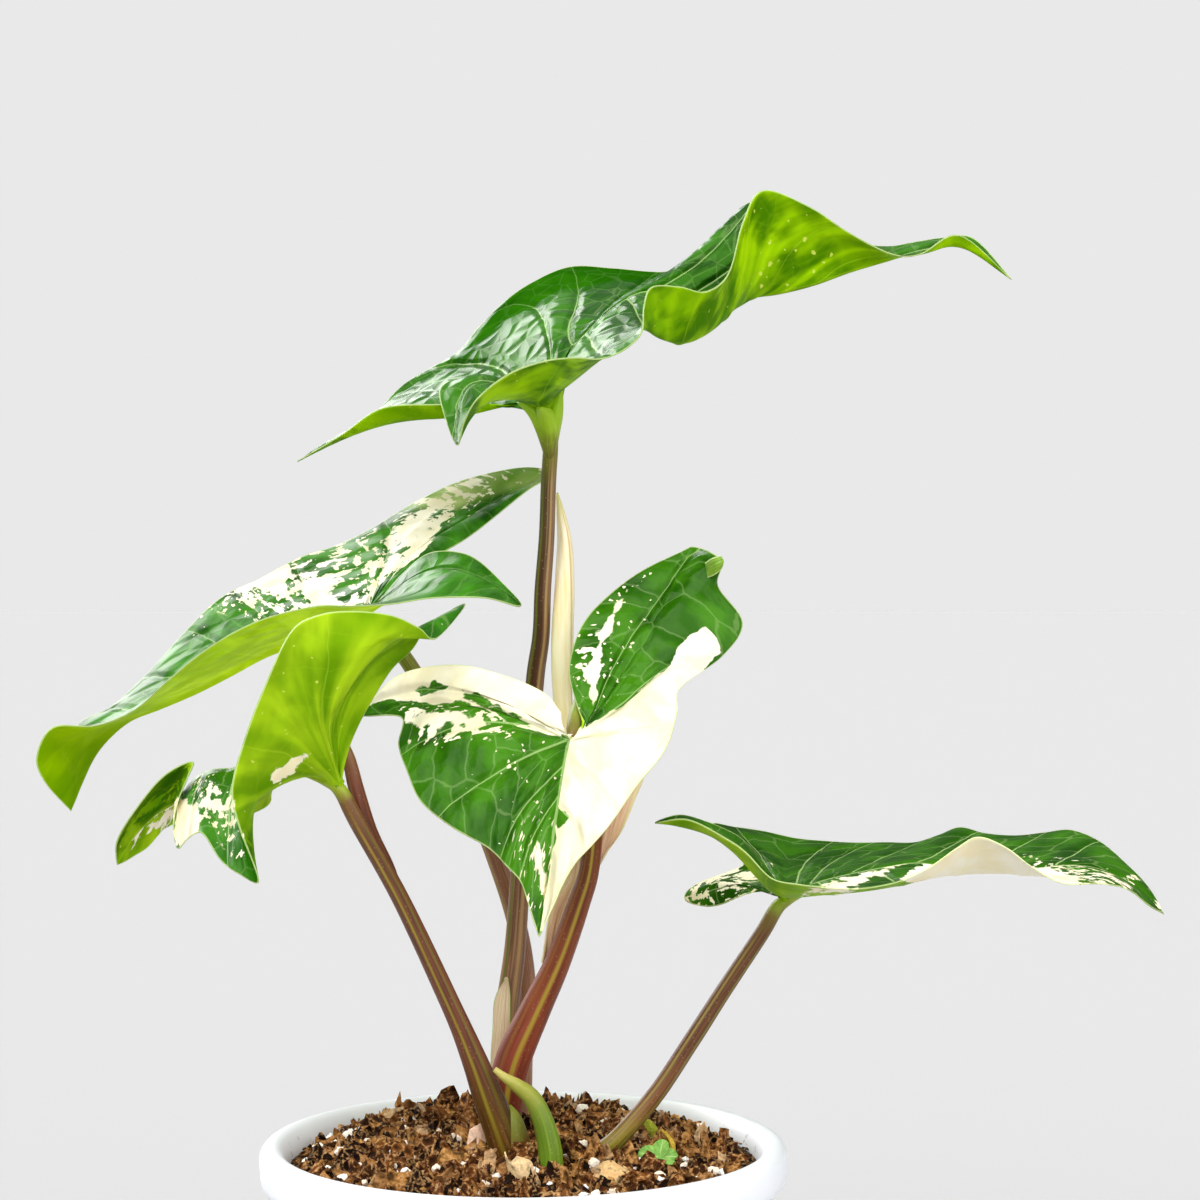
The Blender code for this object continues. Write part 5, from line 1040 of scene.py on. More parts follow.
    # pillows between the veins, lower where the veins run close together, and the skin's own fine grain
    rise = add("Math MULTIPLY", masks["laneRise"], masks["ribRise"])
    height = add("Math MULTIPLY_ADD", masks["pillow"], 0.8, rise)
    height = add("Math MULTIPLY", height, masks["openLane"])
    height = add("Math MULTIPLY_ADD", fine, 0.04, height)
    strength = look["bumps"] * (1.0 if upper else 0.5)
    setInputs(shader, {
        "Base Color": body, "Roughness": add("Math MULTIPLY_ADD", bare, 0.12, rough),
        "Normal": add("Bump", {"Strength": strength, "Distance": 0.0009, "Height": height})})
    if upper:
        # the deep patches, painted shade, lose their gloss too
        gloss = add("MapRange", read["deep"], 0.0, 0.8, look["gloss"], 0.0)
        setInputs(shader, {"Specular Tint": ink("#D4F0B4"), "Specular IOR Level": gloss})
    else:
        # a painted glow for the light that comes through the blade, none at its thick rolled end
        through = add("MapRange", read["alongRib"], 0.5, 0.8, look["through"], 0.0)
        setInputs(shader, {"Specular IOR Level": 0.015, "Emission Color": ink(look["underLight"]),
                           "Emission Strength": through})
    return made


for name, look in leafLooks.items():
    piece = makeLeaf(name, {**plainLeaf, **look})
    finishPiece(piece, "leaf_tissue", name)
    print(name, "made,", len(piece.data.polygons), "faces")

# Tones are (height in mm, colour) from the ground up; stripes are (angle, half width in degrees, colour), where
# 0 faces the camera and 90 faces +X. blush and deep are blotches; an added part has no solid of its own.
plainStalk = {"slot": "stalk_tissue", "stripes": [], "added": False}
stalkLooks = {
    "top_leaf_petiole": {
        "line": topStalk, "blush": "#B08A6C", "blushShare": 0.5, "deep": "#3A1D0C",
        "stripes": [(26, 9, "#B08E5E"), (-42, 8, "#5E6A1A")],
        "tones": [(95, "#5A2E18"), (140, "#9A7250"), (175, "#8A6242"), (195, "#4E2A14"), (250, "#46280F"),
                  (273, "#544210"), (285, "#787618"), (291, "#A8C81E")],
    },
    "left_leaf_petiole": {
        "line": leftStalk, "blush": "#BE8E74", "blushShare": 0.6, "deep": "#5A3018",
        "stripes": [(-50, 10, "#8B7A30")],
        "tones": [(95, "#5E3420"), (130, "#A5785A"), (175, "#8C5E40"), (200, "#6E4628"), (235, "#80902C"),
                  (245, "#9AC02E")],
    },
    "front_leaf_petiole": {
        "line": frontStalk, "blush": "#94583C", "blushShare": 0.55, "deep": "#33180A",
        "stripes": [(-6, 7, "#96842A"), (38, 6, "#6E6420")],
        "tones": [(98, "#4E3A10"), (108, "#7A4414"), (117, "#6A4C12"), (126, "#5E4412"), (142, "#663624"),
                  (190, "#684024"), (200, "#74502A"), (205, "#A0B828")],
    },
    "centre_leaf_petiole": {
        "line": centreStalk, "blush": "#9A4A22", "blushShare": 0.45, "deep": "#4E1C0C",
        "stripes": [(4, 8, "#A8922E"), (-34, 5, "#8E5A30")],
        "tones": [(98, "#4E1C10"), (122, "#6A2A18"), (134, "#8E4230"), (160, "#86421F"), (185, "#6E3C1A"),
                  (215, "#6A4E22"), (222, "#8A9A3A")],
    },
    "right_leaf_petiole": {
        "line": rightStalk, "blush": "#8E5E3C", "blushShare": 0.5, "deep": "#3E2410",
        "stripes": [(-26, 8, "#94803A"), (40, 6, "#7E7A30")],
        "tones": [(98, "#86A62A"), (110, "#8AA22A"), (116, "#8E8226"), (124, "#84562A"), (138, "#623A20"),
                  (166, "#6A4424"), (171, "#7E6A2C"), (175, "#A0B834")],
    },
    "green_shoot": {
        "line": greenShoot, "slot": "shoot_tissue", "blush": "#88A62E", "blushShare": 0.35, "deep": "#55731A",
        "tones": [(98, "#6A8E1E"), (112, "#6C901E"), (124, "#6A8222"), (132, "#9A9A3C"), (136, "#C6BA68")],
    },
    "plant_crown": {
        "line": plantCrown, "blush": "#8A4A1E", "blushShare": 0.7, "deep": "#4A3210", "added": True,
        "tones": [(98, "#54280E"), (110, "#6E3E16"), (116, "#6E5A1C"), (121, "#787C26"), (125, "#8A9232")],
    },
    "front_leaf_sheath": {
        "line": frontSheath, "slot": "sheath_tissue", "blush": "#8A5038", "blushShare": 0.5, "deep": "#45200F",
        "stripes": [(-30, 8, "#8A5A42")],
        "tones": [(180, "#6A3423"), (205, "#74402C"), (216, "#8A6A3A")],
    },
}
# the top leaf's main veins stand out below the blade where they spread from the stalk
for number, line in enumerate(junctionVeins):
    stalkLooks[f"top_leaf_vein_{number}"] = {
        "line": line, "blush": "#B08A6C", "blushShare": 0.3, "deep": "#3A1D0C", "added": True,
        "tones": [(273, "#544210"), (285, "#787618"), (291, "#A0C41C"), (298, "#A4D01C")],
    }
stalkMake = {
    "ringSpacing": 0.0009, "sides": 28, "swell": 0.05, "linePoints": 8, "thinnest": 0.25,
    "toneStray": 8.0,                  # mm, how far a tone's edge wanders up and down
    "fades": (9, 1),                   # mm below its leaf, where a stalk turns plain green
}


def groupOf(name, inputs):
    # a Geometry Nodes group with named inputs
    tree = bpy.data.node_groups.new(name, "GeometryNodeTree")
    tree.interface.new_socket("Geometry", in_out="INPUT", socket_type="NodeSocketGeometry")
    for label, kind in inputs:
        tree.interface.new_socket(label, in_out="INPUT", socket_type="NodeSocket" + kind)
    tree.interface.new_socket("Geometry", in_out="OUTPUT", socket_type="NodeSocketGeometry")
    return tree, addNode(tree, "NodeGroupInput", give=None).outputs, addNode(tree, "NodeGroupOutput", give=None)


def applyGroup(piece, tree, **values):
    # sets each named input by its identifier, then keeps the plain mesh
    modifier = piece.modifiers.new(tree.name, "NODES")
    modifier.node_group = tree
    for item in tree.interface.items_tree:
        if item.item_type == "SOCKET" and item.in_out == "INPUT" and item.name in values:
            modifier[item.identifier] = values[item.name]
    return bake(piece)


def stalkGroup():
    tree, given, out = groupOf("stalk on its line", [("Ring spacing", "Float"), ("Sides", "Int"),
                               ("Swell", "Float"), ("Tissue", "Material")])
    add = partial(addNode, tree)
    rings = add("GeometryNodeResampleCurve", {"Curve": given["Geometry"], "Length": given["Ring spacing"]},
                mode="LENGTH")
    told = add("GeometryNodeStoreNamedAttribute", {"Geometry": rings, "Name": "along",
               "Value": add("GeometryNodeSplineParameter", give="Length")}, data_type="FLOAT", domain="POINT")
    lumps = add("TexNoise", {"Vector": add("GeometryNodeInputPosition"), "Scale": 60.0, "Detail": 1.0})
    uneven = add("Math SUBTRACT", lumps, 0.5)
    uneven = add("Math MULTIPLY_ADD", uneven, given["Swell"], 1.0)
    width = add("Math MULTIPLY", add("GeometryNodeInputRadius"), uneven)
    ring = add("GeometryNodeCurvePrimitiveCircle", {"Resolution": given["Sides"], "Radius": 1.0})
    skin = add("GeometryNodeCurveToMesh", {"Curve": told, "Profile Curve": ring, "Scale": width, "Fill Caps": True})
    facing = add("GeometryNodeStoreNamedAttribute", {"Geometry": skin, "Name": "facing",
                 "Value": add("GeometryNodeInputNormal")}, data_type="FLOAT_VECTOR", domain="POINT")
    soft = add("GeometryNodeSetShadeSmooth", {"Geometry": facing, "Shade Smooth": True})
    real = add("GeometryNodeRealizeInstances", soft)
    setInputs(out, {0: add("GeometryNodeSetMaterial", {"Geometry": real, "Material": given["Tissue"]})})
    return tree


def lineCurve(name, points):
    fine = fineLine(points, stalkMake["linePoints"])
    data = bpy.data.curves.new(name, "CURVE")
    data.dimensions = "3D"
    spline = data.splines.new("POLY")
    spline.points.add(len(fine) - 1)
    for point, (x, y, z, radius) in zip(spline.points, fine):
        point.co = (x * mm, y * mm, z * mm, 1.0)
        point.radius = max(radius, stalkMake["thinnest"]) * mm
    piece = bpy.data.objects.new(name, data)
    scene.collection.objects.link(piece)
    return piece


def stalkTissue(name, look):
    # waxy stalk skin: satin, finely ribbed along its length, with paler lines where the sheath's edges met
    made, add, shader = newMaterial(name)
    place = add("TexCoord", give="Object")
    facing = add("Attribute", give="Vector", attribute_name="facing")
    facing = add("SeparateXYZ", facing, give=None).outputs
    along = add("Attribute", give="Fac", attribute_name="along")
    forward = add("Math MULTIPLY", facing["Y"], -1.0)
    angle = add("Math ARCTAN2", facing["X"], forward)
    soft = add("TexNoise", {"Vector": place, "Scale": 140.0, "Detail": 3.0})
    height = add("SeparateXYZ", place, give="Z")
    height = add("Math MULTIPLY_ADD", soft, stalkMake["toneStray"] * mm, height)
    low, high = look["tones"][0][0], look["tones"][-1][0]
    lift = stalkMake["toneStray"] / 2
    climb = add("MapRange", height, (low + lift) * mm, (high + lift) * mm)
    colour = setRungs(add("ValToRGB", climb, give=None),
                      [((z - low) / (high - low), tone) for z, tone in look["tones"]])
    # fibres: noise drawn out along the stalk, about 0.4 mm wide, and broader bands of 1.5 mm
    fibres = []
    for across, lengthwise in ((6.5, 60.0), (1.7, 9.0)):
        x = add("Math MULTIPLY", facing["X"], across)
        y = add("Math MULTIPLY", facing["Y"], across)
        z = add("Math MULTIPLY", along, lengthwise)
        at = add("CombineXYZ", x, y, z)
        fibres.append(add("TexNoise", {"Vector": at, "Scale": 1.0, "Detail": 3.0}))
    fibre, band = fibres
    start, end = ((high - below) * mm for below in stalkMake["fades"])
    fade = add("MapRange", height, start, end, 1.0, 0.1)
    blush = add("MapRange", band, 0.48, 0.66, 0.0, look["blushShare"], interpolation_type="SMOOTHSTEP")
    shade = add("MapRange", fibre, 0.34, 0.62, 0.6, 0.0, interpolation_type="SMOOTHSTEP")
    dots = add("TexVoronoi", {"Vector": place, "Scale": 900.0})
    layers = [(add("Math MULTIPLY", blush, fade), look["blush"]),
              (add("Math MULTIPLY", shade, fade), look["deep"]),
              (add("MapRange", dots, 0.12, 0.2, 0.2, 0.0), "#D8B08A")]
    # the lines are lost near the ground
    clear = add("MapRange", height, 0.113, 0.13, 0.1, 1.0)
    clear = add("Math MULTIPLY", clear, fade)
    for turn, width, tone in look["stripes"]:
        off = add("Math SUBTRACT", angle, math.radians(turn))
        off = add("Math ABSOLUTE", off)
        off = add("Math MULTIPLY_ADD", fibre, 0.22, off)
        edge = math.radians(width) + 0.11
        share = add("MapRange", off, edge - 0.1, edge + 0.1, 0.85, 0.0, interpolation_type="SMOOTHSTEP")
        layers.append((add("Math MULTIPLY", share, clear), tone))
    setInputs(shader, {
        "Base Color": layColours(add, colour, layers), "Roughness": add("MapRange", fibre, 0.3, 0.7, 0.32, 0.46),
        "Normal": add("Bump", {"Strength": 0.45, "Distance": 0.00025, "Height": fibre}),
        "Specular IOR Level": 0.32})
    return made


stalkTree = stalkGroup()
for name, look in stalkLooks.items():
    look = {**plainStalk, **look}
    stalk = applyGroup(lineCurve(name + "_fine", look["line"]), stalkTree, **{
        "Ring spacing": stalkMake["ringSpacing"], "Sides": stalkMake["sides"], "Swell": stalkMake["swell"],
        "Tissue": stalkTissue(name.replace("_", " ") + " skin", look)})
    finishPiece(stalk, look["slot"], *([] if look["added"] else [name]))
print("stalks and shoot made")

sheathLooks = {
    "centre_leaf_sheath": {"rows": centreSheath, "pale": "#F0CDA6", "deep": "#C98E66", "rim": "#E9D9A6"},
    "top_leaf_sheath": {"rows": topSheath, "pale": "#F0DDBA", "deep": "#CDB08A", "rim": "#8FB03A"},
}
# the centre leaf's far lobe ends in a small tip that curls forward and shows its underside
curledTip = {
    "rows": [[(44, -9, 253.5), (44.8, -9.5, 255.5), (44.5, -8.6, 257.5)],
             [(46.5, -12, 254.5), (46.8, -12.8, 256.8), (46, -11.5, 258.6)],
             [(48.3, -12.8, 256), (48.8, -13.2, 257.8), (48.2, -12.5, 259.2)]],
    # its rim is the same painted highlight along the margin as on the blades
    "pale": "#84AE22", "deep": "#527E12", "rim": "#D6E89A",
}
sheetMake = {  # steps between points, thickness in mm, and height of the ripples in mm
    "fine": 14, "thickness": 0.35, "sheathRipple": 0.12, "tipRipple": 0.02, "scrapRipple": 0.04,
}


def paperTissue(name, look):
    # thin dying sheath: matt, papery, drawn out in fine veins along its length
    made, add, shader = newMaterial(name)
    across = add("Attribute", attribute_name="across", give="Fac")
    along = add("Attribute", attribute_name="along", give="Fac")
    grain = add("CombineXYZ", across, along)
    veins = add("Mapping", {"Vector": grain, "Scale": (26.0, 0.05, 1.0)})
    line = add("TexNoise", {"Vector": veins, "Scale": 1.0, "Detail": 3.0})
    edge = add("Math SUBTRACT", across, 0.5)
    edge = add("Math ABSOLUTE", edge)
    body = layColours(add, look["pale"], [(add("MapRange", line, 0.35, 0.68), look["deep"]),
                                          (add("MapRange", edge, 0.4, 0.5), look["rim"])])
    setInputs(shader, {"Base Color": body, "Roughness": 0.5,
                       "Normal": add("Bump", {"Strength": 0.4, "Distance": 0.0002, "Height": line})})
    return made


def makeSheet(name, rows, ripple, tissue):
    # a thin closed sheet on rows of points
    grid = fineLine(rows, sheetMake["fine"])
    grid = fineLine(np.swapaxes(grid, 0, 1), sheetMake["fine"])
    wide, tall = grid.shape[:2]
    normal = np.cross(np.gradient(grid, axis=0), np.gradient(grid, axis=1))
    normal /= np.maximum(np.linalg.norm(normal, axis=2, keepdims=True), 1e-9)
    across = np.linspace(0, 1, wide)[:, None] * np.ones((1, tall))
    along = np.ones((wide, 1)) * lengthsAlong(grid[wide // 2])
    wave = ripple * np.sin(across * 44 + along * 0.05)
    half = sheetMake["thickness"] / 2
    points = np.concatenate([grid + normal * (half + wave)[..., None], grid - normal * (half - wave)[..., None]])
    faces = sheetFaces(np.arange(wide * tall).reshape(wide, tall))
    piece = meshPiece(name + "_fine", points.reshape(-1, 3) * mm, faces,
                      {"across": np.tile(across.ravel(), 2), "along": np.tile(along.ravel(), 2)}, tissue)
    faceOutwards(piece.data)
    return piece


for name, look in sheathLooks.items():
    tissue = paperTissue(name.replace("_", " ") + " tissue", look)
    finishPiece(makeSheet(name, look["rows"], sheetMake["sheathRipple"], tissue), "sheath_tissue", name)
tissue = paperTissue("curled leaf tip tissue", curledTip)
finishPiece(makeSheet("curled_leaf_tip", curledTip["rows"], sheetMake["tipRipple"], tissue), "leaf_tissue")

# the new leaf is still rolled: one sheet wound round itself, its free edge a low step up the side
rolledLeaf = {
    "line": newLeaf, "linePoints": 12, "sides": 96, "ringSpacing": 0.9,
    "lip": 0.13,                       # height of the step, as a share of the radius
    "start": -70, "twist": 0.012,      # where the step begins in degrees, and its turn in radians for each mm
    "pale": "#FFF3D2", "deep": "#F2DA9E", "seam": "#CDA45C", "tip": "#D9CE6E",
}
youngTissue, add, shader = newMaterial("rolled young leaf, waxy and nearly without green")
turn = add("Attribute", attribute_name="turn", give="Fac")
along = add("Attribute", attribute_name="along", give="Fac")
grain = add("CombineXYZ", turn, along)
drawn = add("Mapping", {"Vector": grain, "Scale": (14.0, 0.06, 1.0)})
line = add("TexNoise", {"Vector": drawn, "Scale": 1.0, "Detail": 3.0})
body = layColours(add, rolledLeaf["pale"], [(add("MapRange", line, 0.38, 0.7), rolledLeaf["deep"]),
                                            (add("MapRange", turn, 0.06, 0.0), rolledLeaf["seam"]),
                                            (add("MapRange", along, 10.0, 0.0), rolledLeaf["tip"])])
setInputs(shader, {"Base Color": body, "Roughness": 0.36, "Coat Weight": 0.2,
                   "Normal": add("Bump", {"Strength": 0.35, "Distance": 0.0003, "Height": line})})


def makeRolledLeaf():
    fine = fineLine(rolledLeaf["line"], rolledLeaf["linePoints"])
    way = lengthsAlong(fine[:, :3])
    stops = np.arange(0, way[-1], rolledLeaf["ringSpacing"])
    rings = np.stack([np.interp(stops, way, fine[:, k]) for k in range(4)], axis=1)
    count, sides, lip = len(rings), rolledLeaf["sides"], rolledLeaf["lip"]
    turns = np.linspace(0, 1, sides, endpoint=False)
    points = []
    for (x, y, z, radius), tangent, at in zip(rings, np.gradient(rings[:, :3], axis=0), stops):
        tangent = Vector(tangent).normalized()
        side = tangent.cross(Vector((0, 1, 0))).normalized()
        up = side.cross(tangent).normalized()
        for t in turns:
            lean = math.radians(rolledLeaf["start"]) + rolledLeaf["twist"] * at + 2 * math.pi * t
            out = radius * (1 - lip + lip * min(t * 1.15, 1.0))
            points.append((Vector((x, y, z)) + (side * math.cos(lean) + up * math.sin(lean)) * out) * mm)
    faces = [[r * sides + s, r * sides + (s + 1) % sides, (r + 1) * sides + (s + 1) % sides, (r + 1) * sides + s]
             for r in range(count - 1) for s in range(sides)]
    faces += [list(range(sides))[::-1], [(count - 1) * sides + s for s in range(sides)]]
    piece = meshPiece("new_leaf_fine", points, faces,
                      {"turn": np.tile(turns, count), "along": np.repeat(stops, sides)}, youngTissue)
    faceOutwards(piece.data)
    return piece


finishPiece(makeRolledLeaf(), "young_leaf_tissue", "new_leaf")
print("sheaths and rolled leaf made")

potMake = {
    "height": 115.0, "rimRadius": 65.0, "rimDrop": 10.0, "mouth": 59.0, "foot": 44.6, "wall": 1.8, "floor": 2.2,
    "rimRound": 3.0,                   # mm, radius of the rim's outer edge
    "steps": 192, "holes": 6, "holeRadius": 4.0, "holeCircle": 30.0, "holeSides": 32,
    "drill": (1.5, 6.0),               # mm, middle and length of what cuts a hole
    "white": "#F6F8FD", "shade": "#ECEFF7", "dust": "#8A6A48",
}
soilMake = {
    "top": 109.0, "gap": 0.3, "rings": 44, "steps": 160, "seed": 17, "shapes": 7,
    "rough": 0.9, "lumps": 1.1,        # mm, height of the fine and the broad unevenness
    # name, pieces per square metre, size range in mm, keep inside this radius in mm, lift in mm
    "kinds": [
        ("chunk", 34000, (4.8, 9.6), 50.0, 1.6), ("chip", 120000, (2.6, 6.0), 54.0, 2.2),
        ("husk", 17000, (3.6, 7.6), 52.0, 2.8), ("crumb", 200000, (0.9, 2.0), 57.0, 1.2),
        ("perlite", 26000, (1.0, 3.4), 54.5, 2.8),
    ],
    "mound": (-8, 22, 30, 6.0),        # mm, middle, spread and height of the heap behind the stalks
    "clearOfStalks": 4.6,              # mm, for the larger pieces, and for the small ones this share of it
    "clearOfSmall": 0.75,
    "feetBelow": 125,                  # mm, the stalks' points up to this height keep pieces away
}


def innerRadius(height):
    # the pot's inner wall leans out from its foot to its mouth
    lean = potMake["mouth"] - potMake["foot"] + potMake["wall"]
    return (potMake["foot"] - potMake["wall"]) + lean * height / potMake["height"]


def turnedMesh(name, profile, steps, material):
    # a closed profile of (radius, height) in mm turned round the axis; a radius of 0 is one point
    points, rings = [], []
    for radius, height in profile:
        if radius == 0:
            rings.append([len(points)] * steps)
            points.append((0, 0, height * mm))
            continue
        rings.append(list(range(len(points), len(points) + steps)))
        points += [(radius * mm * math.cos(a), radius * mm * math.sin(a), height * mm)
                   for a in np.arange(steps) * 2 * math.pi / steps]
    faces = []
    for low, high in zip(rings, rings[1:]):
        for s in range(steps):
            ring = [low[s], low[(s + 1) % steps], high[(s + 1) % steps], high[s]]
            faces.append([q for k, q in enumerate(ring) if q != ring[k - 1]])
    return meshPiece(name, points, faces, material=material)


# white polypropylene, injection moulded: a soft satin skin with faint flow marks, dusty where the bark lies
potPlastic, add, shader = newMaterial("white polypropylene, injection moulded")
place = add("TexCoord", give="Object")
flow = add("TexNoise", {"Vector": place, "Scale": 22.0, "Detail": 2.0})
skin = add("TexNoise", {"Vector": place, "Scale": 1800.0, "Detail": 2.0})
tone = add("MapRange", flow, 0.3, 0.7)
dust = add("TexNoise", {"Vector": place, "Scale": 420.0, "Detail": 5.0, "Roughness": 0.7})
dust = add("MapRange", dust, 0.6, 0.68)
far = add("VectorMath MULTIPLY", place, (1, 1, 0))
far = add("VectorMath LENGTH", far, give="Value")
height = add("SeparateXYZ", place, give="Z")
# dust only inside the mouth, from just below the bark to just above it
for value, none, full in ((height, 0.1142, 0.1095), (height, 0.105, 0.107), (far, 0.0596, 0.0588)):
    dust = add("Math MULTIPLY", dust, add("MapRange", value, none, full))
body = layColours(add, potMake["white"], [(tone, potMake["shade"]), (dust, potMake["dust"])])
setInputs(shader, {
    "Base Color": body, "IOR": 1.49,
    "Roughness": add("MapRange", {"Value": flow, "To Min": 0.3, "To Max": 0.42}),
    "Normal": add("Bump", {"Strength": 0.12, "Distance": 0.0001, "Height": skin})})


def potProfile():
    # (radius, height) in mm from the middle of the floor, up inside, over the rim and down to the underside
    top, rim, mouth, floor, turn = (potMake[key] for key in ("height", "rimRadius", "mouth", "floor", "rimRound"))
    skirt = top - potMake["rimDrop"]
    outer = innerRadius(skirt) + potMake["wall"]
    rows = [(0, floor), (20, floor), (38, floor), (innerRadius(2.2) - 1.2, floor),
            (innerRadius(2.2) - 0.3, floor + 0.3), (innerRadius(3.6), 3.6)]
    rows += [(innerRadius(h), h) for h in np.linspace(8, top - 3.2, 24)]
    rows += [(mouth + out, top - down) for out, down in ((0.25, 1.9), (0.7, 1.1), (1.4, 0.45), (2.2, 0.1))]
    rows += [(rim - turn, top)]
    rows += [(rim - turn + turn * math.sin(a), top - turn + turn * math.cos(a))
             for a in np.linspace(0.25, math.pi / 2, 7)]
    rows += [(rim - back, skirt + up) for back, up in ((0.05, 4.5), (0.15, 2.6), (0.5, 1.1), (1.1, 0.3), (1.8, 0))]
    rows += [(outer + out, skirt - down) for out, down in ((1.6, 0), (0.7, 0.25), (0.15, 0.9), (-0.1, 2.0))]
    low = potMake["foot"] + 0.6
    rows += [(low + (outer - low) * (h - 2.5) / (skirt - 2.5), h) for h in np.linspace(skirt - 5, 6, 24)]
    rows += [(low + 0.1, 2.6), (low - 0.2, 1.2), (low - 0.8, 0.35), (low - 1.6, 0.0)]
    return rows + [(40, 0.0), (39.4, 0.6), (38.6, 0.8), (20, 0.8), (0, 0.8)]


pot = turnedMesh("pot_fine", potProfile(), potMake["steps"], potPlastic)
faceOutwards(pot.data)
drill = bmesh.new()
middle, length = potMake["drill"]
for index in range(potMake["holes"]):
    angle = 2 * math.pi * index / potMake["holes"]
    spot = Vector((potMake["holeCircle"] * math.cos(angle), potMake["holeCircle"] * math.sin(angle), middle)) * mm
    bmesh.ops.create_cone(drill, cap_ends=True, segments=potMake["holeSides"], radius1=potMake["holeRadius"] * mm,
                          radius2=potMake["holeRadius"] * mm, depth=length * mm, matrix=Matrix.Translation(spot))
drillMesh = bpy.data.meshes.new("drain drills")
drill.to_mesh(drillMesh)
drill.free()
drills = bpy.data.objects.new("drain drills", drillMesh)
scene.collection.objects.link(drills)
cut = pot.modifiers.new("drain holes", "BOOLEAN")
cut.object = drills
cut.solver = "EXACT"
pot = bake(pot)
bpy.data.objects.remove(drills)
finishPiece(pot, "pot_plastic", "pot")
print("pot made")


def barkMaterial(name, tones, grainScale, depth, pitted):
    # dry conifer bark and husk: matt, fibrous, each piece its own brown, painted shade in its pits, a painted
    # highlight on its crests; the grain darkens the furrows, partly own tone and partly painted shade, more for a
    # small depth
    made, add, shader = newMaterial(name)
    place = add("TexCoord", give="Object")
    tint = add("Attribute", give="Fac", attribute_name="tint")
    colour = setRungs(add("ValToRGB", tint, give=None), tones)
    drawn = add("Mapping", {"Vector": place, "Scale": (1.0, 0.35, 1.6), "Rotation": (0.4, 0.7, 0.9)})
    fibre = add("TexNoise", {"Vector": drawn, "Scale": grainScale, "Detail": 5.0, "Roughness": 0.65})
    # the fibre grain darkens the furrows: partly the bark's own tone, partly painted shade
    shade = add("MapRange", fibre, 0.3, 0.7, depth, 1.35)
    colour = add("VectorMath MULTIPLY", colour, shade)
    warp = add("TexNoise", {"Vector": place, "Scale": 500.0}, give="Color")
    warp = add("VectorMath SCALE", {0: warp, 3: 0.0022})
    warp = add("VectorMath ADD", place, warp)
    cell = add("TexVoronoi", {"Vector": warp, "Scale": 330.0}, feature="DISTANCE_TO_EDGE")
    # painted shade in the pits, which the bump also sinks, and a painted highlight on the crests
    pitShadeAndDepth = add("MapRange", cell, 0.14, 0.36, 0.0, pitted)
    crestHighlight = add("Math MULTIPLY", add("MapRange", cell, 0.03, 0.12, pitted, 0.0),
                add("MapRange", fibre, 0.42, 0.6))
    colour = layColours(add, colour, [(pitShadeAndDepth, "#1E0F06"), (crestHighlight, "#CFA06A")])
    height = add("Math MULTIPLY_ADD", pitShadeAndDepth, -1.5, fibre)
    setInputs(shader, {"Base Color": colour, "Roughness": 0.85, "Specular IOR Level": 0.12,
                       "Normal": add("Bump", {"Strength": 0.8, "Distance": 0.0005, "Height": height})})
    return made


barkLook = barkMaterial("bark chips, dry", [(0.0, "#190B04"), (0.25, "#381C0A"), (0.5, "#663A17"),
                        (0.78, "#8E5524"), (1.0, "#C8924E")], 900.0, 0.3, 0.85)
perliteLook = barkMaterial("perlite, expanded volcanic glass", [(0.0, "#F6E4CC"), (0.5, "#FCF4E8"),
                           (1.0, "#FFFDF8")], 1400.0, 0.85, 0.08)
huskLook = barkMaterial("bark skin, thin and curled", [(0.0, "#7E4E24"), (0.5, "#BC8A54"), (1.0, "#E8CBA2")],
                        900.0, 0.5, 0.55)
# the bed shows only in the gaps between the loose pieces: its near-black browns are partly the fine bark's own colour
# and partly painted shade in those gaps
bedLook = barkMaterial("fine bark bed, damp below", [(0.0, "#1E0F06"), (0.5, "#33200F"), (1.0, "#52301A")],
                       1100.0, 0.35, 0.6)
# how pitted a piece is also sets its painted pit shade and crest highlight
scraps = {  # darkest colour of each dry scrap, and how pitted it is
    "papery_scale": ("#F0CBB2", 0.25), "curled_flake": ("#EBCB9A", 0.45), "pale_chip": ("#E8C088", 0.9),
    "wilted_sprout": ("#96A032", 0.1), "yellow_sprout": ("#D0B040", 0.1),
}
for name, (tone, pits) in scraps.items():
    tissue = barkMaterial(name.replace("_", " "), [(0.0, tone), (1.0, "#FFF4DC")], 900.0, 0.7, pits)
    finishPiece(makeSheet(name, scrapRows[name], sheetMake["scrapRipple"], tissue), "bark_mix")


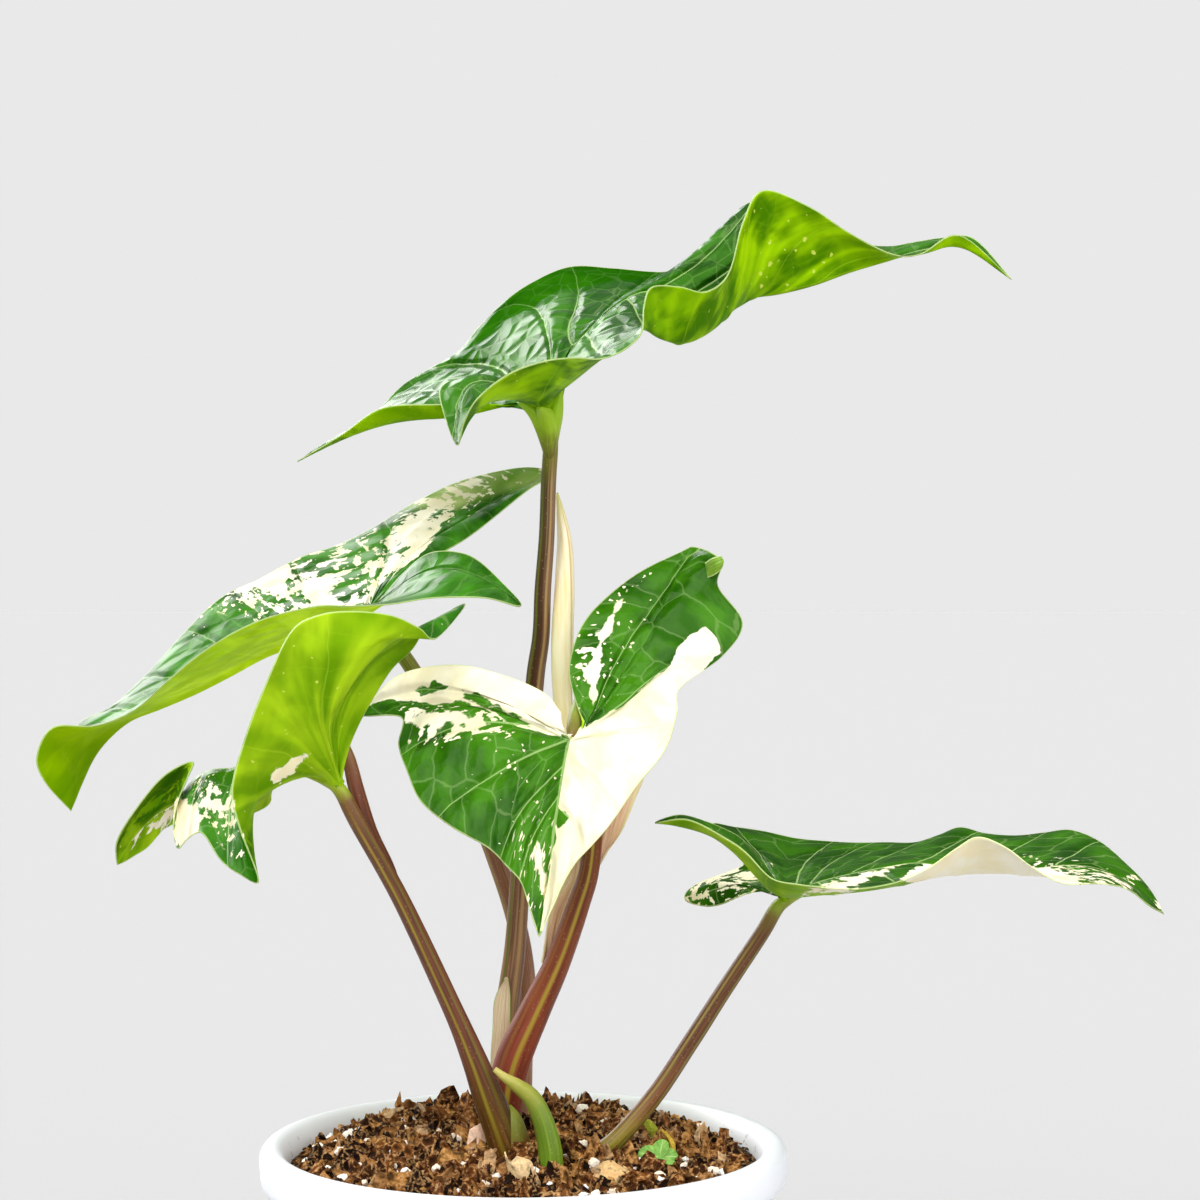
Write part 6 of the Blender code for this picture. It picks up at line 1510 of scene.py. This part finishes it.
def roughPiece(name, draw, kind):
    # one loose piece, about 1 across: a lump of perlite, or a cube flattened and bent into a bit of bark
    mesh = bmesh.new()
    shift = Vector([draw.uniform(0, 50) for _ in range(3)])
    if kind == "perlite":
        bmesh.ops.create_icosphere(mesh, subdivisions=2, radius=0.5)
        for vertex in mesh.verts:
            vertex.co *= 1 + 0.55 * noise.noise(vertex.co * 2.6 + shift)
    else:
        bmesh.ops.create_cube(mesh, size=1.0)
        if kind != "crumb":
            bmesh.ops.subdivide_edges(mesh, edges=mesh.edges, cuts=1 if kind == "chip" else 2, use_grid_fill=True)
        for vertex in mesh.verts:
            vertex.co *= 1 - 0.16 * (vertex.co.length > 0.7)
            vertex.co += Vector([draw.uniform(-0.09, 0.09) for _ in range(3)])
            vertex.co += noise.noise_vector(vertex.co * 1.6 + shift) * 0.22
        thin = kind == "husk"
        size = Vector((1.0, draw.uniform(0.4, 0.75), 0.08 if thin else draw.uniform(0.14, 0.4)))
        bmesh.ops.scale(mesh, vec=size, verts=mesh.verts)
        curl = draw.uniform(0.9, 2.0) if thin else draw.uniform(0.0, 1.3)
        for vertex in mesh.verts:
            vertex.co.z += curl * vertex.co.x ** 2
    bmesh.ops.recalc_face_normals(mesh, faces=mesh.faces)
    data = bpy.data.meshes.new(name)
    mesh.to_mesh(data)
    mesh.free()
    return bpy.data.objects.new(name, data)


def scatterGroup(label):
    tree, given, out = groupOf(label, [("Stock", "Collection"), ("Stalk feet", "Object"), ("Density", "Float"),
                               ("Smallest", "Float"), ("Largest", "Float"), ("Inside", "Float"), ("Lift", "Float"),
                               ("Clear", "Float"), ("Seed", "Int"), ("Finish", "Material")])
    add = partial(addNode, tree)
    place = add("GeometryNodeInputPosition")
    far = add("VectorMath MULTIPLY", place, (1, 1, 0))
    far = add("VectorMath LENGTH", far, give="Value")
    spots = add("GeometryNodeDistributePointsOnFaces", {"Mesh": given["Geometry"], "Density": given["Density"],
                "Seed": given["Seed"]}, distribute_method="RANDOM")
    within = add("FunctionNodeCompare", far, given["Inside"], data_type="FLOAT", operation="GREATER_THAN")
    feet = add("GeometryNodeObjectInfo", {"Object": given["Stalk feet"]}, give="Geometry")
    close = add("GeometryNodeProximity", feet, give="Distance", target_element="POINTS")
    tight = add("FunctionNodeCompare", close, given["Clear"], data_type="FLOAT", operation="LESS_THAN")
    away = add("FunctionNodeBooleanMath", within, tight, operation="OR")
    kept = add("GeometryNodeDeleteGeometry", {"Geometry": spots, "Selection": away}, domain="POINT")
    size = add("FunctionNodeRandomValue", {2: given["Smallest"], 3: given["Largest"], "Seed": 5}, give=1,
               data_type="FLOAT")
    turn = add("FunctionNodeRandomValue", {0: (-1.15, -1.15, 0.0), 1: (1.15, 1.15, 6.28), "Seed": 9},
               data_type="FLOAT_VECTOR")
    stock = add("GeometryNodeCollectionInfo", {"Collection": given["Stock"], "Separate Children": True,
                "Reset Children": True})
    laid = add("GeometryNodeInstanceOnPoints", {"Points": kept, "Instance": stock, "Pick Instance": True,
               "Scale": size, "Rotation": turn})
    rise = add("FunctionNodeRandomValue", {2: 0.0, 3: given["Lift"], "Seed": 11}, give=1, data_type="FLOAT")
    rise = add("CombineXYZ", {"Z": rise})
    lifted = add("GeometryNodeTranslateInstances", {"Instances": laid, "Local Space": False, "Translation": rise})
    tint = add("FunctionNodeRandomValue", {"Seed": 21}, give=1, data_type="FLOAT")
    told = add("GeometryNodeStoreNamedAttribute", {"Geometry": lifted, "Name": "tint", "Value": tint},
               data_type="FLOAT", domain="INSTANCE")
    real = add("GeometryNodeRealizeInstances", told)
    setInputs(out, {0: add("GeometryNodeSetMaterial", {"Geometry": real, "Material": given["Finish"]})})
    return tree


def makeBed():
    top, rings = soilMake["top"], soilMake["rings"]
    edge = innerRadius(top) - soilMake["gap"]
    profile = [(0, top)] + [(edge * r / rings, top) for r in range(1, rings + 1)]
    profile += [(innerRadius(h) - soilMake["gap"], h) for h in (104, 80, 50, 20, 4)] + [(20, 2.5), (0, 2.5)]
    bed = turnedMesh("bark_bed", profile, soilMake["steps"], bedLook)
    x, y, spread, tall = soilMake["mound"]
    for vertex in bed.data.vertices:
        if vertex.co.z > (top - 0.5) * mm:
            far = math.hypot(vertex.co.x, vertex.co.y) / (edge * mm)
            heap = tall * math.exp(-((vertex.co.x / mm - x) ** 2 + (vertex.co.y / mm - y) ** 2) / (2 * spread ** 2))
            lump = noise.fractal(vertex.co * 150, 1.0, 2.0, 4) * soilMake["rough"]
            lump += noise.noise(vertex.co * 45) * soilMake["lumps"]
            vertex.co.z += (lump * (1 - far ** 8) + heap * (1 - far ** 5)) * mm
    tint = bed.data.attributes.new("tint", "FLOAT", "POINT")
    tint.data.foreach_set("value", [0.5 + 0.5 * noise.noise(v.co * 300) for v in bed.data.vertices])
    faceOutwards(bed.data)
    return bed


bed = makeBed()
# only the bed's top carries loose pieces
crown = bed.data.copy()
mesh = bmesh.new()
mesh.from_mesh(crown)
lowest = (soilMake["top"] - 2) * mm
spare = [f for f in mesh.faces if f.calc_center_median().z < lowest or f.normal.z < 0.2]
bmesh.ops.delete(mesh, geom=spare, context="FACES")
mesh.to_mesh(crown)
mesh.free()
# the stalks' lower points, which loose pieces keep clear of
feetAt = []
for look in stalkLooks.values():
    feetAt += [(x * mm, y * mm, z * mm) for x, y, z, r in look["line"] if z < soilMake["feetBelow"]]
    low, high = look["line"][-1], look["line"][-2]
    for share in np.linspace(0, 1, 12):
        feetAt.append(tuple((low[k] + (high[k] - low[k]) * share) * mm for k in range(3)))
feet = meshPiece("stalk feet", feetAt, [])
scatter = scatterGroup("bark scattered on its bed")
noise.seed_set(soilMake["seed"])       # or the pieces would be bent anew at every run
layers = []
for number, (kind, density, (smallest, largest), inside, lift) in enumerate(soilMake["kinds"]):
    draw = random.Random(soilMake["seed"] + number)
    stock = bpy.data.collections.new(kind + " stock")
    for index in range(soilMake["shapes"]):
        stock.objects.link(roughPiece(f"{kind} {index}", draw, kind))
    clear = soilMake["clearOfStalks"] * mm * (1.0 if kind in ("chunk", "chip") else soilMake["clearOfSmall"])
    layer = bpy.data.objects.new("bark_" + kind, crown.copy())
    scene.collection.objects.link(layer)
    layers.append(applyGroup(layer, scatter, **{
        "Stock": stock, "Stalk feet": feet, "Density": float(density), "Smallest": smallest * mm,
        "Largest": largest * mm, "Inside": inside * mm, "Lift": lift * mm, "Clear": clear,
        "Seed": soilMake["seed"] + number, "Finish": {"perlite": perliteLook, "husk": huskLook}.get(kind, barkLook)}))
    for spare in list(stock.objects):
        bpy.data.objects.remove(spare)
    bpy.data.collections.remove(stock)
bpy.data.objects.remove(feet)
finishPiece(bed, "bark_mix", "soil")
for layer in layers:
    finishPiece(layer, "bark_mix")
    print(layer.name, len(layer.data.polygons), "faces")
print("bark made")

seedlingMake = {
    "root": (32.5, -15.0, 108.2), "top": (33.2, -14.6, 114.0), "stalk": 0.55, "sides": 12, "steps": 8,
    # heading, rise and roll in degrees, length in mm
    "leaflets": [(168, 12, -50, 5.4), (70, 62, 0, 4.6), (12, 2, 58, 4.8)],
    "rows": 26, "lines": 17,           # points along and across a leaflet
    "width": 0.9,                      # as a share of its length
    "thickness": 0.28, "ripple": 0.07, "foldDeep": 0.25, "fold": 0.14, "veins": 7,
    "green": "#8CBE50", "deep": "#67A03A", "vein": "#A6CE74",
}
weedTissue, add, shader = newMaterial("seedling leaf, soft and hairy")
along = add("Attribute", attribute_name="along", give="Fac")
across = add("Attribute", attribute_name="across", give="Fac")
off = add("Math ABSOLUTE", across)
lane = add("Math MULTIPLY_ADD", off, -0.55, along)
lane = add("Math MULTIPLY", lane, float(seedlingMake["veins"]))
lane = add("Math PINGPONG", lane, 1.0)
side = add("MapRange", lane, 0.0, 0.18, 0.55, 0.0)
mid = add("MapRange", off, 0.04, 0.12, 1.0, 0.0)
line = add("Math MAXIMUM", side, mid)
place = add("TexCoord", give="Object")
soft = add("TexNoise", {"Vector": place, "Scale": 600.0, "Detail": 3.0})
body = layColours(add, seedlingMake["deep"], [(add("MapRange", soft, 0.35, 0.65), seedlingMake["green"]),
                                              (line, seedlingMake["vein"])])
setInputs(shader, {"Base Color": body, "Roughness": 0.55,
                   "Normal": add("Bump", {"Strength": 0.5, "Distance": 0.0002, "Height": lane})})


def makeSeedling():
    top, root = Vector(seedlingMake["top"]), Vector(seedlingMake["root"])
    sides, last, rows, lines = (seedlingMake[key] for key in ("sides", "steps", "rows", "lines"))
    points, faces, along, across = [], [], [], []
    for step in range(last + 1):
        centre = root.lerp(top, step / last) + Vector((0.25 * math.sin(step), 0.1 * step / last, 0))
        wide = seedlingMake["stalk"] * (1.15 - 0.3 * step / last)
        for s in range(sides):
            a = 2 * math.pi * s / sides
            points.append(centre + Vector((wide * math.cos(a), wide * math.sin(a), 0)))
        if step:
            low, high = (step - 1) * sides, step * sides
            faces += [[low + s, low + (s + 1) % sides, high + (s + 1) % sides, high + s] for s in range(sides)]
    along, across = [0.5] * len(points), [0.5] * len(points)
    faces += [list(range(sides))[::-1], [last * sides + s for s in range(sides)]]
    # each leaflet is a thin sheet folded along its middle, with a ripple for each side vein
    for heading, rise, roll, length in seedlingMake["leaflets"]:
        turn = Euler((math.radians(roll), -math.radians(rise), math.radians(heading))).to_matrix()
        faces += sheetFaces(np.arange(rows * lines).reshape(rows, lines) + len(points))
        for under in (0, 1):
            for t in np.linspace(0, 1, rows):
                wide = seedlingMake["width"] * length * max(0.02, 1 - (2 * t - 1) ** 2) ** 0.5 / 2
                for side in np.linspace(-1, 1, lines):
                    bend = seedlingMake["fold"] * (wide * abs(side) ** 1.3 - length * t * t)
                    wave = math.cos((t - 0.28 * abs(side)) * seedlingMake["veins"] * math.pi)
                    ripple = seedlingMake["ripple"] * wave * (1 - abs(side) ** 4)
                    sunk = seedlingMake["thickness"] * under * (1 - abs(side) ** 6)
                    p = Vector((t * length, wide * side, bend + ripple - sunk))
                    points.append(top - Vector((0, 0, seedlingMake["foldDeep"])) + turn @ p)
                    along.append(t)
                    across.append(side)
    piece = meshPiece("seedling_fine", [p * mm for p in points], faces, {"along": along, "across": across},
                      weedTissue)
    faceOutwards(piece.data)
    return piece


finishPiece(makeSeedling(), "weed_tissue", "seedling")
print("seedling made")
